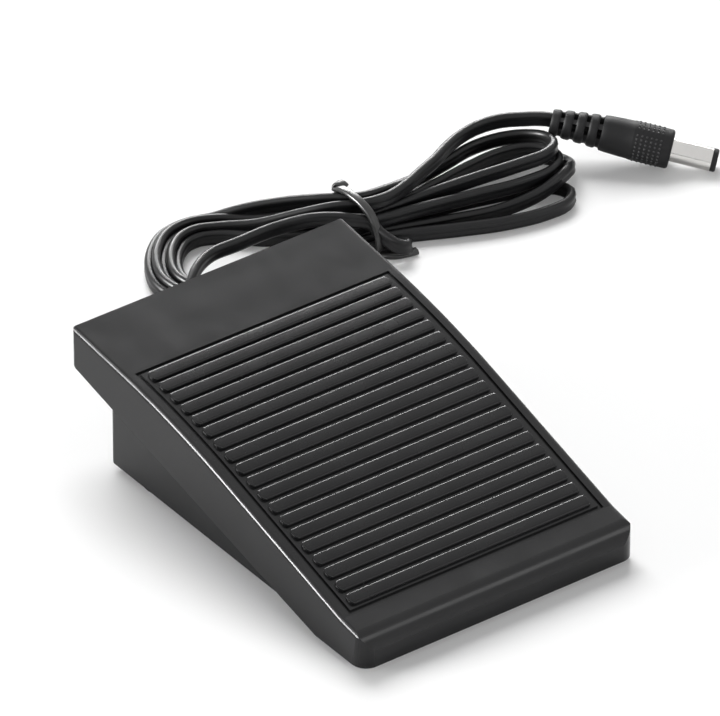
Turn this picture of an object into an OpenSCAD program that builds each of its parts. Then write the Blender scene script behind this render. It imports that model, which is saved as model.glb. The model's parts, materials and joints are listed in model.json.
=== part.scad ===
// Foot pedal for a small sewing machine: a ribbed cover hinged at its low front end on a wedge-shaped
// tray, with return springs and a snap-action switch inside, and a tied lead that ends in a barrel plug.
// Origin: on the floor under the middle of the pedal. +X is to the right, +Y towards the lead, +Z up.

/* [Cover] */
// Width of the cover across its top edges
cover_w = 74.4; // [70:0.2:80]
// Length of the cover at the skirt
cover_l = 109.5; // [106:0.5:114]
// Height of the cover's rear top edge above the floor
rear_h = 32.2; // [31:0.1:34]
// Height of the rear skirt's lower edge above the floor
rear_skirt_z = 22.6; // [21.5:0.1:24]
// Height of the front skirt's lower edge above the floor
front_skirt_z = 1.3; // [1:0.1:2]
// Length of the level stretch of the skirt's lower edge at the front
level_l = 17.2; // [14:0.2:20]
// Angle by which the smooth rear zone is flatter than the tread, in degrees
rear_ease = 9.3; // [8.8:0.1:9.8]
// Angle by which the smooth front zone is flatter than the tread, in degrees
front_ease = 6.5; // [4.5:0.5:7.5]
// Length of the straight rear zone
rear_zone_l = 18; // [14:1:22]
// Length of the smooth front zone
front_zone_l = 8.3; // [7.8:0.1:8.8]
// Radius of the bend between the rear zone and the tread
bend_r = 245; // [230:5:260]
// Draft of the skirt's sides, in degrees
draft = 1.2; // [0.5:0.1:1.5]
// Thickness of the top plate
plate_t = 2.2; // [1.8:0.1:2.4]
// Thickness of the skirt
skirt_t = 1.9; // [1.4:0.1:2]
// Radius of the long top edges
edge_r = 1.2; // [0.6:0.1:1.6]
// Radius of the front top edge
nose_r = 4.5; // [3:0.1:5]
// Radius of the upright rear corners
rear_corner_r = 1.8; // [1:0.1:3]
// Radius of the upright front corners
front_corner_r = 3.6; // [2:0.1:5]

/* [Tread] */
// Number of ribs
rib_count = 19; // [15:1:19]
// Distance between ribs, along the length
rib_pitch = 4.1; // [3.9:0.05:4.15]
// Distance from the rear edge to the middle of the first rib
rib_start = 23.6; // [22:0.2:24.4]
// Width of a rib
rib_w = 3.2; // [2.6:0.1:3.4]
// Height of a rib above the plate
rib_h = 0.7; // [0.4:0.1:1]
// Distance from the cover's side to the ribs' ends
rib_margin = 4.6; // [4.4:0.1:6]
// Radius of a rib's corners
rib_corner_r = 1.2; // [0.6:0.1:1.25]
// Radius of a rib's shoulders
rib_edge_r = 0.45; // [0.2:0.05:0.5]
// Width of the groove round the tread
groove_w = 0.9; // [0.6:0.1:1.2]
// Depth of the groove round the tread
groove_t = 0.5; // [0.3:0.1:0.8]
// Distance from the cover's side to the groove
groove_margin = 2.6; // [2.4:0.1:3]

/* [Base] */
// Clearance on each side between the tray and the cover's skirt
base_side_gap = 0.7; // [0.6:0.1:2]
// Distance from the cover's rear edge to the tray
base_rear_gap = 11; // [10.5:0.1:13]
// Distance from the cover's front edge to the tray
base_front_gap = 3.7; // [3.4:0.1:4.5]
// Height of the tray's underside above the floor
base_z = 1.5; // [1.2:0.1:1.8]
// Clearance between the tray's rear wall and the pressed cover
rear_wall_gap = 1; // [0.8:0.1:2]
// Clearance between the tray's front wall and the cover
front_wall_gap = 1.5; // [1:0.1:2]
// Thickness of the tray's floor
floor_t = 1.6; // [1.4:0.1:1.6]
// Thickness of the tray's walls
wall_t = 2; // [1.6:0.1:2.2]
// Radius of the tray's upright corners
base_corner_r = 2; // [1:0.1:3]
// Size of the chamfer under the tray's rear edge
base_chamfer = 1.5; // [0.5:0.1:1.9]

/* [Feet] */
// Radius of a foot
foot_r = 5.5; // [4:0.1:6]
// Depth of the foot's seat in the tray
foot_seat = 0.5; // [0.3:0.1:0.6]
// Distance from the tray's side to a foot
foot_side_gap = 0.7; // [0.6:0.1:2]
// Distance from the tray's rear to the middle of a rear foot
foot_rear_gap = 13.5; // [12:0.5:16]
// Distance from the tray's front to the middle of a front foot
foot_front_gap = 13; // [12:0.5:16]

/* [Hinge] */
// Distance from the cover's front edge to the hinge axis
hinge_from_front = 10.75; // [10:0.05:11.5]
// Height of the hinge axis above the tray's floor
hinge_h = 3; // [2.9:0.05:3.1]
// Radius of the hinge pin
pin_r = 1.25; // [1:0.05:1.3]
// Radial clearance of the cover's lugs on the pin
pin_gap = 0.06; // [0.04:0.01:0.09]
// Radial clearance of the pin in the tray's lugs
pin_fit = 0.02; // [0.01:0.01:0.04]
// Width of a cover lug
lug_w = 4; // [3:0.5:5]
// Side clearance between lugs
lug_gap = 0.4; // [0.3:0.1:0.6]
// Clearance between the tray's lugs and the underside of the cover's plate
lug_top_gap = 0.32; // [0.3:0.01:0.6]
// Travel of the pedal, in degrees
travel = 4.5; // [3.5:0.1:4.5]

/* [Springs] */
// Mean radius of a return spring
spring_r = 4.2; // [3.8:0.1:4.5]
// Radius of the spring wire
wire_r = 0.45; // [0.35:0.05:0.5]
// Number of turns
spring_turns = 7; // [6:1:8]
// Distance of each spring from the middle
spring_x = 20; // [18:0.5:22]
// Distance of the springs in front of the tray's rear
spring_from_rear = 30.7; // [28:0.5:33]

/* [Switch] */
// Length of the switch case
switch_l = 20; // [18:0.5:20]
// Height of the switch case
switch_h = 8.6; // [8:0.1:8.8]
// Thickness of the switch case
switch_w = 6.4; // [6:0.1:7]
// Distance from the hinge axis to the case's front end
switch_from_hinge = 31; // [30:0.5:32]
// Thickness of the switch lid
lid_t = 1.4; // [1.2:0.1:1.6]
// Length of the switch lever from its pivot to its tip
lever_l = 16; // [15:0.5:16]
// Angle of the released lever, in degrees
lever_up = 7.8; // [7:0.1:8.2]
// Distance between the switch's fixing holes
switch_pitch = 9.5; // [9:0.1:10]

/* [Lead] */
// Radius of the lead
lead_r = 1.6; // [1.4:0.1:1.8]
// Height of the lead where it leaves the tray
lead_z = 8; // [7.5:0.1:8.5]
// Height of the tied hank's left lobe
hank_left_h = 7; // [6:0.5:8]
// Height of the tied hank's right lobe
hank_right_h = 9; // [8:0.5:9]

/* [Plug] */
// Outer radius of the barrel
barrel_r = 2.75; // [2.5:0.05:2.75]
// Length of the barrel outside the housing
barrel_l = 9.5; // [9:0.1:10]
// Wall of the barrel
barrel_t = 0.35; // [0.25:0.05:0.45]
// Radius of the contact's bore
contact_r = 1.05; // [1:0.05:1.25]
// Wall of the contact
contact_t = 0.3; // [0.2:0.05:0.35]
// Radius of the plug housing
housing_r = 4.6; // [4.4:0.1:4.8]
// Length of the plug housing
housing_l = 16.5; // [15:0.5:18]
// Length of the strain relief
relief_l = 12; // [11:0.2:14]
// Number of lobes on the strain relief
lobes = 4; // [3:1:5]

/* [Hidden] */
$fn = 48;
big = 200;
fit = 0.05;

// Places that set the top profile
rear_lean = 0.4;
rear_y = cover_l / 2;
top_y = rear_y - rear_lean;
front_y = -cover_l / 2;
floor_z = base_z + floor_t;
hinge_y = front_y + hinge_from_front;
hinge_z = floor_z + hinge_h;
lug_r = pin_r + 1.35;
base_lug_r = pin_r + 1.25;
hinge_d = top_y - hinge_y;

// Height left over the hinge axis when the tread slopes by a, less what the plate and the lugs need
function spare_height(a) =
    let (r = a - rear_ease, bend_end = rear_zone_l + bend_r * (sin(a) - sin(r)))
    rear_h - rear_zone_l * tan(r) - bend_r * (cos(r) - cos(a)) - (hinge_d - bend_end) * tan(a)
        - hinge_z - (base_lug_r + lug_top_gap + plate_t) / cos(a);
// The slope that leaves nothing over, found by the secant rule
function tread_angle(a, b, n) = n == 0 || abs(b - a) < 0.0001 ? b
    : tread_angle(b, b - spare_height(b) * (b - a) / (spare_height(b) - spare_height(a)), n - 1);

// The top profile, by distance d from the rear top edge, its slope to a hundredth of a degree
tread_slope = round(100 * tread_angle(15, 16, 8)) / 100;
rear_slope = tread_slope - rear_ease;
front_slope = tread_slope - front_ease;
bend_d0 = rear_zone_l;
bend_d1 = bend_d0 + bend_r * (sin(tread_slope) - sin(rear_slope));
bend_drop = bend_r * (cos(rear_slope) - cos(tread_slope));
drop0 = bend_d0 * tan(rear_slope);
drop1 = drop0 + bend_drop;
bend_mid_y = top_y - bend_d0 + bend_r * sin(rear_slope);
bend_mid_z = rear_h - drop0 - bend_r * cos(rear_slope);
nose_d = cover_l - rear_lean - front_zone_l;
drop2 = drop1 + (nose_d - bend_d1) * tan(tread_slope);
function slope_at(d) = d <= bend_d0 ? rear_slope
    : d >= nose_d ? front_slope
    : d >= bend_d1 ? tread_slope
    : asin(sin(rear_slope) + (d - bend_d0) / bend_r);
function drop_at(d) = d <= bend_d0 ? d * tan(rear_slope)
    : d >= nose_d ? drop2 + (d - nose_d) * tan(front_slope)
    : d >= bend_d1 ? drop1 + (d - bend_d1) * tan(tread_slope)
    : drop0 + bend_r * (cos(rear_slope) - cos(slope_at(d)));
function top_z(y) = rear_h - drop_at(top_y - y);
function under_z(y) = top_z(y) - plate_t / cos(slope_at(top_y - y));
function arc(c, r, a0, a1, n) =
    [for (i = [0 : n]) c + r * [cos(a0 + (a1 - a0) * i / n), sin(a0 + (a1 - a0) * i / n)]];

// Places that several pieces share
cover_inner_w = cover_w - 2 * skirt_t + 0.4;
base_w = cover_inner_w - 2 * base_side_gap;
base_y1 = rear_y - base_rear_gap;
base_y0 = front_y + base_front_gap;
base_wall_y = base_y1 - wall_t;
base_rear_h = under_z(base_y1) - (base_y1 - hinge_y) * sin(travel) - rear_wall_gap;
base_front_h = under_z(base_y0) - front_wall_gap;
base_lug_w = 4;
cover_lug_x = base_w / 2 - base_lug_w - lug_gap - lug_w / 2;
pin_l = base_w - 0.6;
spring_y = base_y1 - spring_from_rear;
seat_drop = 1.7;
seat_z = under_z(spring_y) - seat_drop;
spring_peg_r = spring_r - wire_r - 1;
stop_x = 12;
stop_y = base_y1 - 8.7;
stop_r = 3;
post_r = 3.5;
post_z = 13;
bumper_t = 2.5;
bumper_z = post_z + bumper_t;
stop_face_z = bumper_z + (stop_y + stop_r - hinge_y) * sin(travel) + 0.15;
ledge_side_gap = 6.8;
ledge_w = 8;
ledge_x = base_w / 2 - wall_t - ledge_side_gap;
ledge_t = 1.8;
ledge_z = base_rear_h - 2.1 - ledge_t;
ledge_reach = 1.5;
hook_w = 6;
hook_t = 2;
hook_y = base_wall_y - ledge_reach - 1.6;
barb_t = 2.2;
barb_z = ledge_z - 0.2 - barb_t;
barb_reach = 2.3;

switch_y0 = hinge_y + switch_from_hinge;
switch_y1 = switch_y0 + switch_l;
switch_z0 = floor_z + 0.9;
switch_z1 = switch_z0 + switch_h;
split_x = switch_w / 2 - lid_t;
pivot_y = switch_y1 - 1.5;
pivot_z = switch_z1 + 0.8;
lever_t = 0.3;
lever_w = 4;
lever_pin_r = 0.5;
terminal_l = 3.6;
button_arm = 6.5;
button_y = pivot_y - button_arm;
button_r = 1.2;
button_top_z = pivot_z + (button_arm - button_r) * tan(lever_up) - lever_t / 2 / cos(lever_up) - 0.05;
hole_y0 = switch_y0 + (switch_l - switch_pitch) / 2;
hole_z = switch_z0 + 3.6;
screw_r = 1;
bracket_t = 1;
bracket_x = -switch_w / 2 - bracket_t;
bracket_pad_z = floor_z + 2.5;
bracket_screw_x = bracket_x - 5;
bracket_w = 9;
lever_tip_y = pivot_y - lever_l * cos(lever_up);
lever_tip_z = pivot_z + lever_l * sin(lever_up);
post_tip_z = lever_tip_z + lever_t / 2 + 0.3;

grommet_r = 3.6;
boot_l = 6;
boot_end_y = base_y1 + 1.4 + boot_l;
clamp_y = base_y1 - 8;
clamp_w = 4;
clamp_screw_x = 5.8;
clamp_l = 2 * clamp_screw_x + 4;
clamp_top_z = lead_z + lead_r + 1.6;

// Route of the lead, from the boot to the hank, and of the tail, from the hank to the plug
LEAD = [[0, boot_end_y, lead_z], [0.3, 55, 7.4], [2, 62, 4], [5, 69, 2], [9, 75.5, 2.5], [13.5, 81, 4.5], [17, 85, 6]];
TAIL = [[88, 88.5, 9.5], [93, 91, 9.5], [98, 92.9, 9.5], [104, 93.8, 9.6], [109.6, 92.6, 9.9],
    [113.8, 89.9, 10.2], [118.8, 85.6, 10.4], [120.4, 84, 9.95]];
INNER_END = 29;
hank_waist = [64, 84];
tie_turn = 14;
tie_tail_turn = 24;
tie_tail_l = 7;
nose_lift = 1.3;
waist_w = 12.4;
tie_w = 2.1;
tie_t = 0.9;

plug_at = [138.8, 66, 4.85];
plug_yaw = -44.3;
plug_dip = 11.2;
barrel_in = 6;
shank_r = barrel_r - barrel_t / 2;
tip_l = 1.3;
relief_r0 = 3.8;
relief_r1 = 2.8;

// A vector's direction
function unit(v) = v / norm(v);
// Catmull-Rom point between b and c
function spline(a, b, c, d, t) =
    0.5 * (2 * b + (c - a) * t + (2 * a - 5 * b + 4 * c - d) * t * t + (3 * b - a - 3 * c + d) * t * t * t);
// The points p with n - 1 more between each two
function smooth_path(p, n) = [for (i = [0 : len(p) - 2]) for (k = [0 : n - 1])
    spline(p[max(i - 1, 0)], p[i], p[i + 1], p[min(i + 2, len(p) - 1)], k / n), p[len(p) - 1]];

// A tube along points
module tube(path, r, sides = 8) {
    n = len(path);
    rings = [for (i = [0 : n - 1])
        let (t = unit(path[min(i + 1, n - 1)] - path[max(i - 1, 0)]),
             side = unit(cross([0, 0, 1], t)), up = cross(t, side))
        for (k = [0 : sides - 1])
            path[i] + r * (cos(360 * k / sides) * side + sin(360 * k / sides) * up)];
    walls = [for (i = [0 : n - 2]) for (k = [0 : sides - 1])
        [i * sides + k, i * sides + (k + 1) % sides,
         (i + 1) * sides + (k + 1) % sides, (i + 1) * sides + k]];
    polyhedron(rings, concat(walls,
        [[for (k = [0 : sides - 1]) sides - 1 - k]],
        [[for (k = [0 : sides - 1]) (n - 1) * sides + k]]));
}

// A flat shape in the Y-Z plane, extruded across the width
module across(w) { rotate([90, 0, 90]) linear_extrude(w, center = true) children(); }

// A flat shape, X across and Y out of the surface, swept along the top profile
module along_top(d0, d1) {
    if (d0 < bend_d0)
        translate([0, top_y - d0, rear_h - drop_at(d0)]) rotate([90 + rear_slope, 0, 0])
            linear_extrude((min(d1, bend_d0) - d0) / cos(rear_slope)) children();
    if (d1 > bend_d0 && d0 < bend_d1) {
        a0 = slope_at(max(d0, bend_d0));
        a1 = slope_at(min(d1, bend_d1));
        translate([0, bend_mid_y, bend_mid_z]) rotate([90, 0, 90]) rotate([0, 0, 90 + a0])
            rotate_extrude(angle = a1 - a0, $fn = 720) translate([bend_r, 0]) mirror([1, -1]) children();
    }
    if (d1 > bend_d1) {
        s = max(d0, bend_d1);
        translate([0, top_y - s, rear_h - drop_at(s)]) rotate([90 + tread_slope, 0, 0])
            linear_extrude((min(d1, nose_d) - s) / cos(tread_slope)) children();
    }
    if (d1 > nose_d)
        translate([0, top_y - nose_d, rear_h - drop2]) rotate([90 + front_slope, 0, 0])
            translate([0, 0, -10]) linear_extrude(10 + d1 - nose_d) children();
}

// Side view of all that lies under the top surface, moved down by t along its normal
module under_top(t) {
    mid = (tread_slope + front_slope) / 2;
    reach = t / cos((tread_slope - front_slope) / 2);
    far = cover_l + 10;
    function inner(d, a, h) = [top_y - d + h * sin(a), rear_h - drop_at(d) - h * cos(a)];
    polygon(concat([[top_y + 10, -50], [top_y + 10, rear_h + 10 * tan(rear_slope) - t / cos(rear_slope)]],
        arc([bend_mid_y, bend_mid_z], bend_r - t, 90 + rear_slope, 90 + tread_slope, 6),
        [inner(nose_d, mid, reach), inner(far, front_slope, t), [top_y - far, -50]]));
}

// Anything that sits on the top surface at distance d, its Z along the surface's normal
module on_top(d) {
    translate([0, top_y - d, rear_h - drop_at(d)]) rotate([slope_at(d), 0, 0]) children();
}

// A rectangle with round corners, its middle at the origin
module round_rect(w, l, r) {
    square([w - 2 * r, l], center = true);
    square([w, l - 2 * r], center = true);
    for (x = [-1, 1], y = [-1, 1]) translate([x * (w / 2 - r), y * (l / 2 - r)]) circle(r);
}

// Half a cross-section is mirrored: the cover's outside, its long edges rounded
module cover_section(half, depth) {
    edge = [half - edge_r, -edge_r];
    right = arc(edge, edge_r, 90, 0, 6);
    low = [half + (depth - edge_r) * tan(draft), -depth];
    polygon(concat(right, [low], [[-low[0], low[1]]],
        [for (i = [len(right) - 1 : -1 : 0]) [-right[i][0], right[i][1]]]));
}

// Side view of the cover's limits: rear wall, skirt's lower edge and rounded nose
module cover_side() {
    nose_y = front_y + nose_r;
    nose = [nose_y, top_z(nose_y) - nose_r / cos(front_slope)];
    start = nose + (nose_r + 1) * [-sin(front_slope), cos(front_slope)];
    difference() {
        polygon([[rear_y, rear_skirt_z], [top_y, rear_h], [top_y, rear_h + 3], [front_y, rear_h + 3],
            [front_y, front_skirt_z], [front_y + level_l, front_skirt_z]]);
        difference() {
            polygon([nose, start, [start[0], rear_h + 4], [front_y - 1, rear_h + 4], [front_y - 1, nose[1]]]);
            translate(nose) circle(nose_r);
        }
    }
}

module cover_plan() {
    w = cover_w + 0.2;
    difference() {
        square([w + 2, cover_l], center = true);
        for (s = [-1, 1]) {
            scale([s, 1]) corner_waste([w / 2, rear_y], rear_corner_r, 1);
            scale([s, 1]) corner_waste([w / 2, front_y], front_corner_r, -1);
        }
    }
}

// What is cut away to round one corner; up is 1 at the rear and -1 at the front
module corner_waste(at, r, up) {
    difference() {
        translate(at - [r, r]) square([r + 5, 2 * r]);
        translate([at[0] - r, at[1] - up * r]) circle(r);
        translate([at[0] - r - 1, up > 0 ? at[1] - 3 * r : at[1] + r]) square([r + 7, 2 * r]);
    }
}

module rib_profile() {
    x = rib_w / 2 - rib_edge_r;
    translate([-rib_w / 2, -0.8]) square([rib_w, 0.8 + rib_h - rib_edge_r]);
    translate([-x, 0]) square([2 * x, rib_h]);
    for (s = [-1, 1]) translate([s * x, rib_h - rib_edge_r]) circle(rib_edge_r);
}

module rib(d) {
    l = cover_w - 2 * rib_margin;
    on_top(d) intersection() {
        across(l) rib_profile();
        translate([0, 0, -1]) linear_extrude(3) round_rect(l, rib_w, rib_corner_r);
    }
}

module tread_groove() {
    d0 = rib_start - rib_pitch / 2 - 0.6;
    d1 = rib_start + (rib_count - 0.5) * rib_pitch + 0.6;
    x = cover_w / 2 - groove_margin - groove_w / 2;
    for (s = [-1, 1]) along_top(d0, d1)
        translate([s * x - groove_w / 2, -groove_t]) square([groove_w, groove_t + 1]);
    for (d = [d0, d1]) on_top(d)
        translate([-x - groove_w / 2, -groove_w / 2, -groove_t]) cube([2 * x + groove_w, groove_w, groove_t + 1]);
}

module cover_shell() {
    difference() {
        intersection() {
            across(cover_w + 20) cover_side();
            linear_extrude(rear_h + 10) cover_plan();
            along_top(-6, cover_l + 12) cover_section(cover_w / 2, 40);
        }
        across(cover_inner_w) intersection() {
            translate([front_y + skirt_t, 0]) square([cover_l - 2 * skirt_t - rear_lean, big]);
            under_top(plate_t);
        }
        tread_groove();
    }
}

// Posts, lugs and hooks under the plate, trimmed to the plate's underside
module under_plate() {
    intersection() {
        union() { children(); }
        across(cover_w) under_top(plate_t / 2);
    }
}

module cover_lugs() {
    for (s = [-1, 1]) translate([s * cover_lug_x, hinge_y, hinge_z]) difference() {
        across(lug_w) {
            circle(lug_r);
            translate([-lug_r, 0]) square([2 * lug_r, rear_h]);
        }
        across(lug_w + 1) circle(pin_r + pin_gap);
    }
}

module pedal_cover() {
    color([0.11, 0.11, 0.12]) {
        cover_shell();
        for (i = [0 : rib_count - 1]) rib(rib_start + i * rib_pitch);
        under_plate() {
            cover_lugs();
            for (s = [-1, 1]) {
                translate([s * stop_x, stop_y, stop_face_z]) cylinder(r = stop_r, h = rear_h);
                translate([s * ledge_x - hook_w / 2, hook_y - hook_t, barb_z]) cube([hook_w, hook_t, rear_h]);
                translate([s * ledge_x - hook_w / 2, hook_y - 0.5, barb_z])
                    cube([hook_w, barb_reach + 0.5, barb_t]);
                translate([s * spring_x, spring_y, seat_z]) {
                    cylinder(r = spring_r + wire_r + 0.8, h = rear_h);
                    translate([0, 0, -2.5]) cylinder(r = spring_peg_r - 0.4, h = 3);
                }
            }
            translate([-1.5, lever_tip_y - 0.6, post_tip_z]) cube([3, 1.8, rear_h]);
        }
    }
}

// Side view of the tray, its outside
module base_side() {
    polygon([[base_y0, base_z], [base_y1 - base_chamfer, base_z], [base_y1, base_z + base_chamfer],
        [base_y1, base_rear_h], [base_y0, base_front_h]]);
}

module base_shell() {
    mid_y = (base_y0 + base_y1) / 2;
    difference() {
        intersection() {
            across(base_w) base_side();
            translate([0, mid_y, 0]) linear_extrude(big)
                round_rect(base_w, base_y1 - base_y0, base_corner_r);
        }
        translate([0, mid_y, floor_z]) linear_extrude(big)
            round_rect(base_w - 2 * wall_t, base_y1 - base_y0 - 2 * wall_t, base_corner_r / 2);
    }
}

module base_lugs() {
    for (x = [-1, 1]) translate([x * (base_w / 2 - base_lug_w / 2 - 0.5), hinge_y, hinge_z])
        across(base_lug_w - 1) base_lug_side();
    translate([0, hinge_y, hinge_z]) across(6) base_lug_side();
}

module base_lug_side() {
    circle(base_lug_r);
    translate([-base_lug_r, -hinge_h - 0.5]) square([2 * base_lug_r, hinge_h + 0.5]);
}

module base_posts() {
    for (s = [-1, 1]) {
        translate([s * stop_x, stop_y, floor_z - 0.5]) cylinder(r = post_r, h = post_z - floor_z + 0.5);
        translate([s * spring_x, spring_y, floor_z - 0.5]) cylinder(r = spring_peg_r, h = 5.5);
        translate([s * ledge_x - ledge_w / 2, base_wall_y - ledge_reach, ledge_z])
            cube([ledge_w, ledge_reach + 0.5, ledge_t]);
    }
    translate([-clamp_l / 2, clamp_y - clamp_w / 2, floor_z - 0.5])
        cube([clamp_l, clamp_w, lead_z - 0.3 - floor_z + 0.5]);
    for (y = [hole_y0, hole_y0 + switch_pitch]) translate([bracket_screw_x, y, floor_z - 0.5])
        cylinder(r = 2.8, h = bracket_pad_z - floor_z + 0.5);
}

module base_tray() {
    color([0.10, 0.10, 0.11]) difference() {
        union() {
            base_shell();
            base_lugs();
            base_posts();
        }
        translate([0, hinge_y, hinge_z]) across(base_w + 2) circle(pin_r + pin_fit);
        translate([0, base_y1, lead_z]) rotate([90, 0, 0])
            cylinder(r = grommet_r, h = 3 * wall_t, center = true);
        translate([0, clamp_y, lead_z]) rotate([90, 0, 0])
            cylinder(r = lead_r + fit, h = clamp_w + 2, center = true);
        for (s = [-1, 1]) {
            translate([s * stop_x, stop_y, post_z - 4]) cylinder(r = 1.5, h = 5);
            translate([s * clamp_screw_x, clamp_y, floor_z + 0.5]) cylinder(r = 0.9, h = 20);
        }
        for (y = [hole_y0, hole_y0 + switch_pitch]) translate([bracket_screw_x, y, floor_z])
            cylinder(r = 0.9, h = 20);
        for (x = [-1, 1], y = [base_y1 - foot_rear_gap, base_y0 + foot_front_gap])
            translate([x * (base_w / 2 - foot_side_gap - foot_r), y, base_z - 1])
                cylinder(r = foot_r + fit, h = 1 + foot_seat);
    }
}

module hinge_pin() {
    color([0.75, 0.76, 0.78]) translate([0, hinge_y, hinge_z]) across(pin_l) circle(pin_r);
}

module foot(side, y) {
    color([0.05, 0.05, 0.05]) translate([side * (base_w / 2 - foot_side_gap - foot_r), y, 0])
        rotate_extrude() polygon([[0, 0], [foot_r - 0.5, 0], [foot_r, 0.5],
            [foot_r, base_z + foot_seat], [0, base_z + foot_seat]]);
}
module foot_rear_left() { foot(-1, base_y1 - foot_rear_gap); }
module foot_rear_right() { foot(1, base_y1 - foot_rear_gap); }
module foot_front_left() { foot(-1, base_y0 + foot_front_gap); }
module foot_front_right() { foot(1, base_y0 + foot_front_gap); }

// A compression spring with a closed turn at each end, standing on the tray's floor
module spring(side) {
    low = floor_z + wire_r;
    high = seat_z - wire_r;
    steps = 14;
    total = spring_turns * steps;
    closed = 2.2 * wire_r;
    function rise(t) = t < 1 ? low + closed * t
        : t > spring_turns - 1 ? high - closed * (spring_turns - t)
        : low + closed + (high - low - 2 * closed) * (t - 1) / (spring_turns - 2);
    path = [for (i = [0 : total]) [spring_r * cos(360 * i / steps), spring_r * sin(360 * i / steps),
        rise(i / steps)]];
    color([0.7, 0.71, 0.73]) translate([side * spring_x, spring_y, 0]) tube(path, wire_r, 6);
}
module return_spring_left() { spring(-1); }
module return_spring_right() { spring(1); }

module bumper(side) {
    color([0.05, 0.05, 0.05]) translate([side * stop_x, stop_y, post_z]) {
        cylinder(r = post_r, h = bumper_t);
        translate([0, 0, -3.5]) cylinder(r = 1.5 - fit, h = 3.6);
    }
}
module stop_bumper_left() { bumper(-1); }
module stop_bumper_right() { bumper(1); }

module switch_bracket() {
    y0 = hole_y0 - 3.5;
    l = switch_pitch + 7;
    color([0.72, 0.73, 0.75]) difference() {
        union() {
            translate([bracket_x, y0, bracket_pad_z]) cube([bracket_t, l, switch_z1 - bracket_pad_z]);
            translate([bracket_x - bracket_w + bracket_t, y0, bracket_pad_z]) cube([bracket_w, l, bracket_t]);
        }
        for (y = [hole_y0, hole_y0 + switch_pitch]) {
            translate([0, y, hole_z]) across(40) circle(screw_r + fit);
            translate([bracket_screw_x, y, 0]) cylinder(r = 1.3, h = 30);
        }
    }
}

// A pan-head screw pointing down, its head's underside at the origin, with a cross recess
module screw(r, l, head_r, head_h) {
    difference() {
        union() {
            translate([0, 0, -l]) cylinder(r = r, h = l);
            cylinder(r = head_r, h = head_h);
        }
        for (a = [0, 90]) rotate([0, 0, a]) translate([-head_r * 0.6, -0.2, head_h / 2])
            cube([head_r * 1.2, 0.4, head_h]);
    }
}

module bracket_screws() {
    color([0.75, 0.76, 0.78]) for (y = [hole_y0, hole_y0 + switch_pitch])
        translate([bracket_screw_x, y, bracket_pad_z + bracket_t]) screw(0.85, 2.9, 2, 1.1);
}

module switch_body(x0, x1) {
    translate([x0, switch_y0, switch_z0]) cube([x1 - x0, switch_l, switch_h]);
}

module switch_holes() {
    for (y = [hole_y0, hole_y0 + switch_pitch]) translate([0, y, hole_z]) across(30) circle(screw_r + fit);
    translate([0, button_y, switch_z1 - 4]) cylinder(r = button_r + fit, h = 10);
}

// The two cheeks that carry the lever's pivot
module lever_ears() {
    for (s = [-1, 1]) translate([s * (switch_w / 2 - 0.5), pivot_y, pivot_z]) difference() {
        across(1) {
            circle(0.75);
            translate([-0.75, -1.2]) square([1.5, 1.2]);
        }
        across(2) circle(lever_pin_r + fit);
    }
}

module switch_case() {
    color([0.14, 0.14, 0.15]) difference() {
        union() {
            switch_body(-switch_w / 2, split_x);
            intersection() {
                lever_ears();
                translate([-big / 2, -big / 2, 0]) cube([big / 2, big, big]);
            }
        }
        switch_holes();
    }
}

module switch_lid() {
    color([0.55, 0.09, 0.08]) difference() {
        union() {
            switch_body(split_x, switch_w / 2);
            intersection() {
                lever_ears();
                translate([0, -big / 2, 0]) cube([big / 2, big, big]);
            }
        }
        switch_holes();
    }
}

module switch_screws() {
    color([0.75, 0.76, 0.78]) for (y = [hole_y0, hole_y0 + switch_pitch])
        translate([switch_w / 2, y, hole_z]) rotate([0, 90, 0]) screw(screw_r, switch_w + bracket_t, 1.9, 1.2);
}

module switch_button() {
    color([0.85, 0.85, 0.82]) translate([0, button_y, switch_z1 - 2.4])
        cylinder(r = button_r, h = button_top_z - switch_z1 + 2.4);
}

module switch_lever() {
    color([0.78, 0.79, 0.8]) translate([0, pivot_y, pivot_z]) {
        across(switch_w - 0.2) circle(lever_pin_r);
        rotate([-lever_up, 0, 0]) translate([-lever_w / 2, -lever_l, -lever_t / 2])
            cube([lever_w, lever_l, lever_t]);
    }
}

module switch_terminals() {
    color([0.8, 0.66, 0.35]) for (z = [switch_z0 + 1.2, switch_z0 + 3.8, switch_z0 + 6.4])
        translate([-0.9, switch_y1, z]) cube([1.8, terminal_l, 0.5]);
}

module cord_grommet() {
    color([0.04, 0.04, 0.04]) translate([0, base_y1, lead_z]) rotate([-90, 0, 0]) rotate_extrude()
        polygon([[lead_r + fit, -wall_t - 1.2], [grommet_r + 1, -wall_t - 1.2], [grommet_r + 1, -wall_t],
            [grommet_r - fit, -wall_t], [grommet_r - fit, 0], [grommet_r + 1.2, 0], [grommet_r + 1.2, 1.4],
            [grommet_r - 0.4, 1.4], [lead_r + 0.9, 1.4 + boot_l], [lead_r + fit, 1.4 + boot_l]]);
}

module cord_clamp() {
    low = lead_z - 0.2;
    color([0.16, 0.16, 0.17]) difference() {
        translate([-clamp_l / 2, clamp_y - clamp_w / 2, low]) cube([clamp_l, clamp_w, clamp_top_z - low]);
        translate([0, clamp_y, lead_z]) rotate([90, 0, 0])
            cylinder(r = lead_r + fit, h = clamp_w + 2, center = true);
        for (s = [-1, 1]) translate([s * clamp_screw_x, clamp_y, 0]) cylinder(r = 1.2, h = 30);
    }
}

module clamp_screws() {
    color([0.75, 0.76, 0.78]) for (s = [-1, 1])
        translate([s * clamp_screw_x, clamp_y, clamp_top_z]) screw(0.85, 6.4, 1.8, 1.1);
}

module cord_inner() {
    color([0.05, 0.05, 0.05]) translate([0, INNER_END, lead_z]) rotate([-90, 0, 0])
        cylinder(r = lead_r, h = boot_end_y - INNER_END);
}

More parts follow.
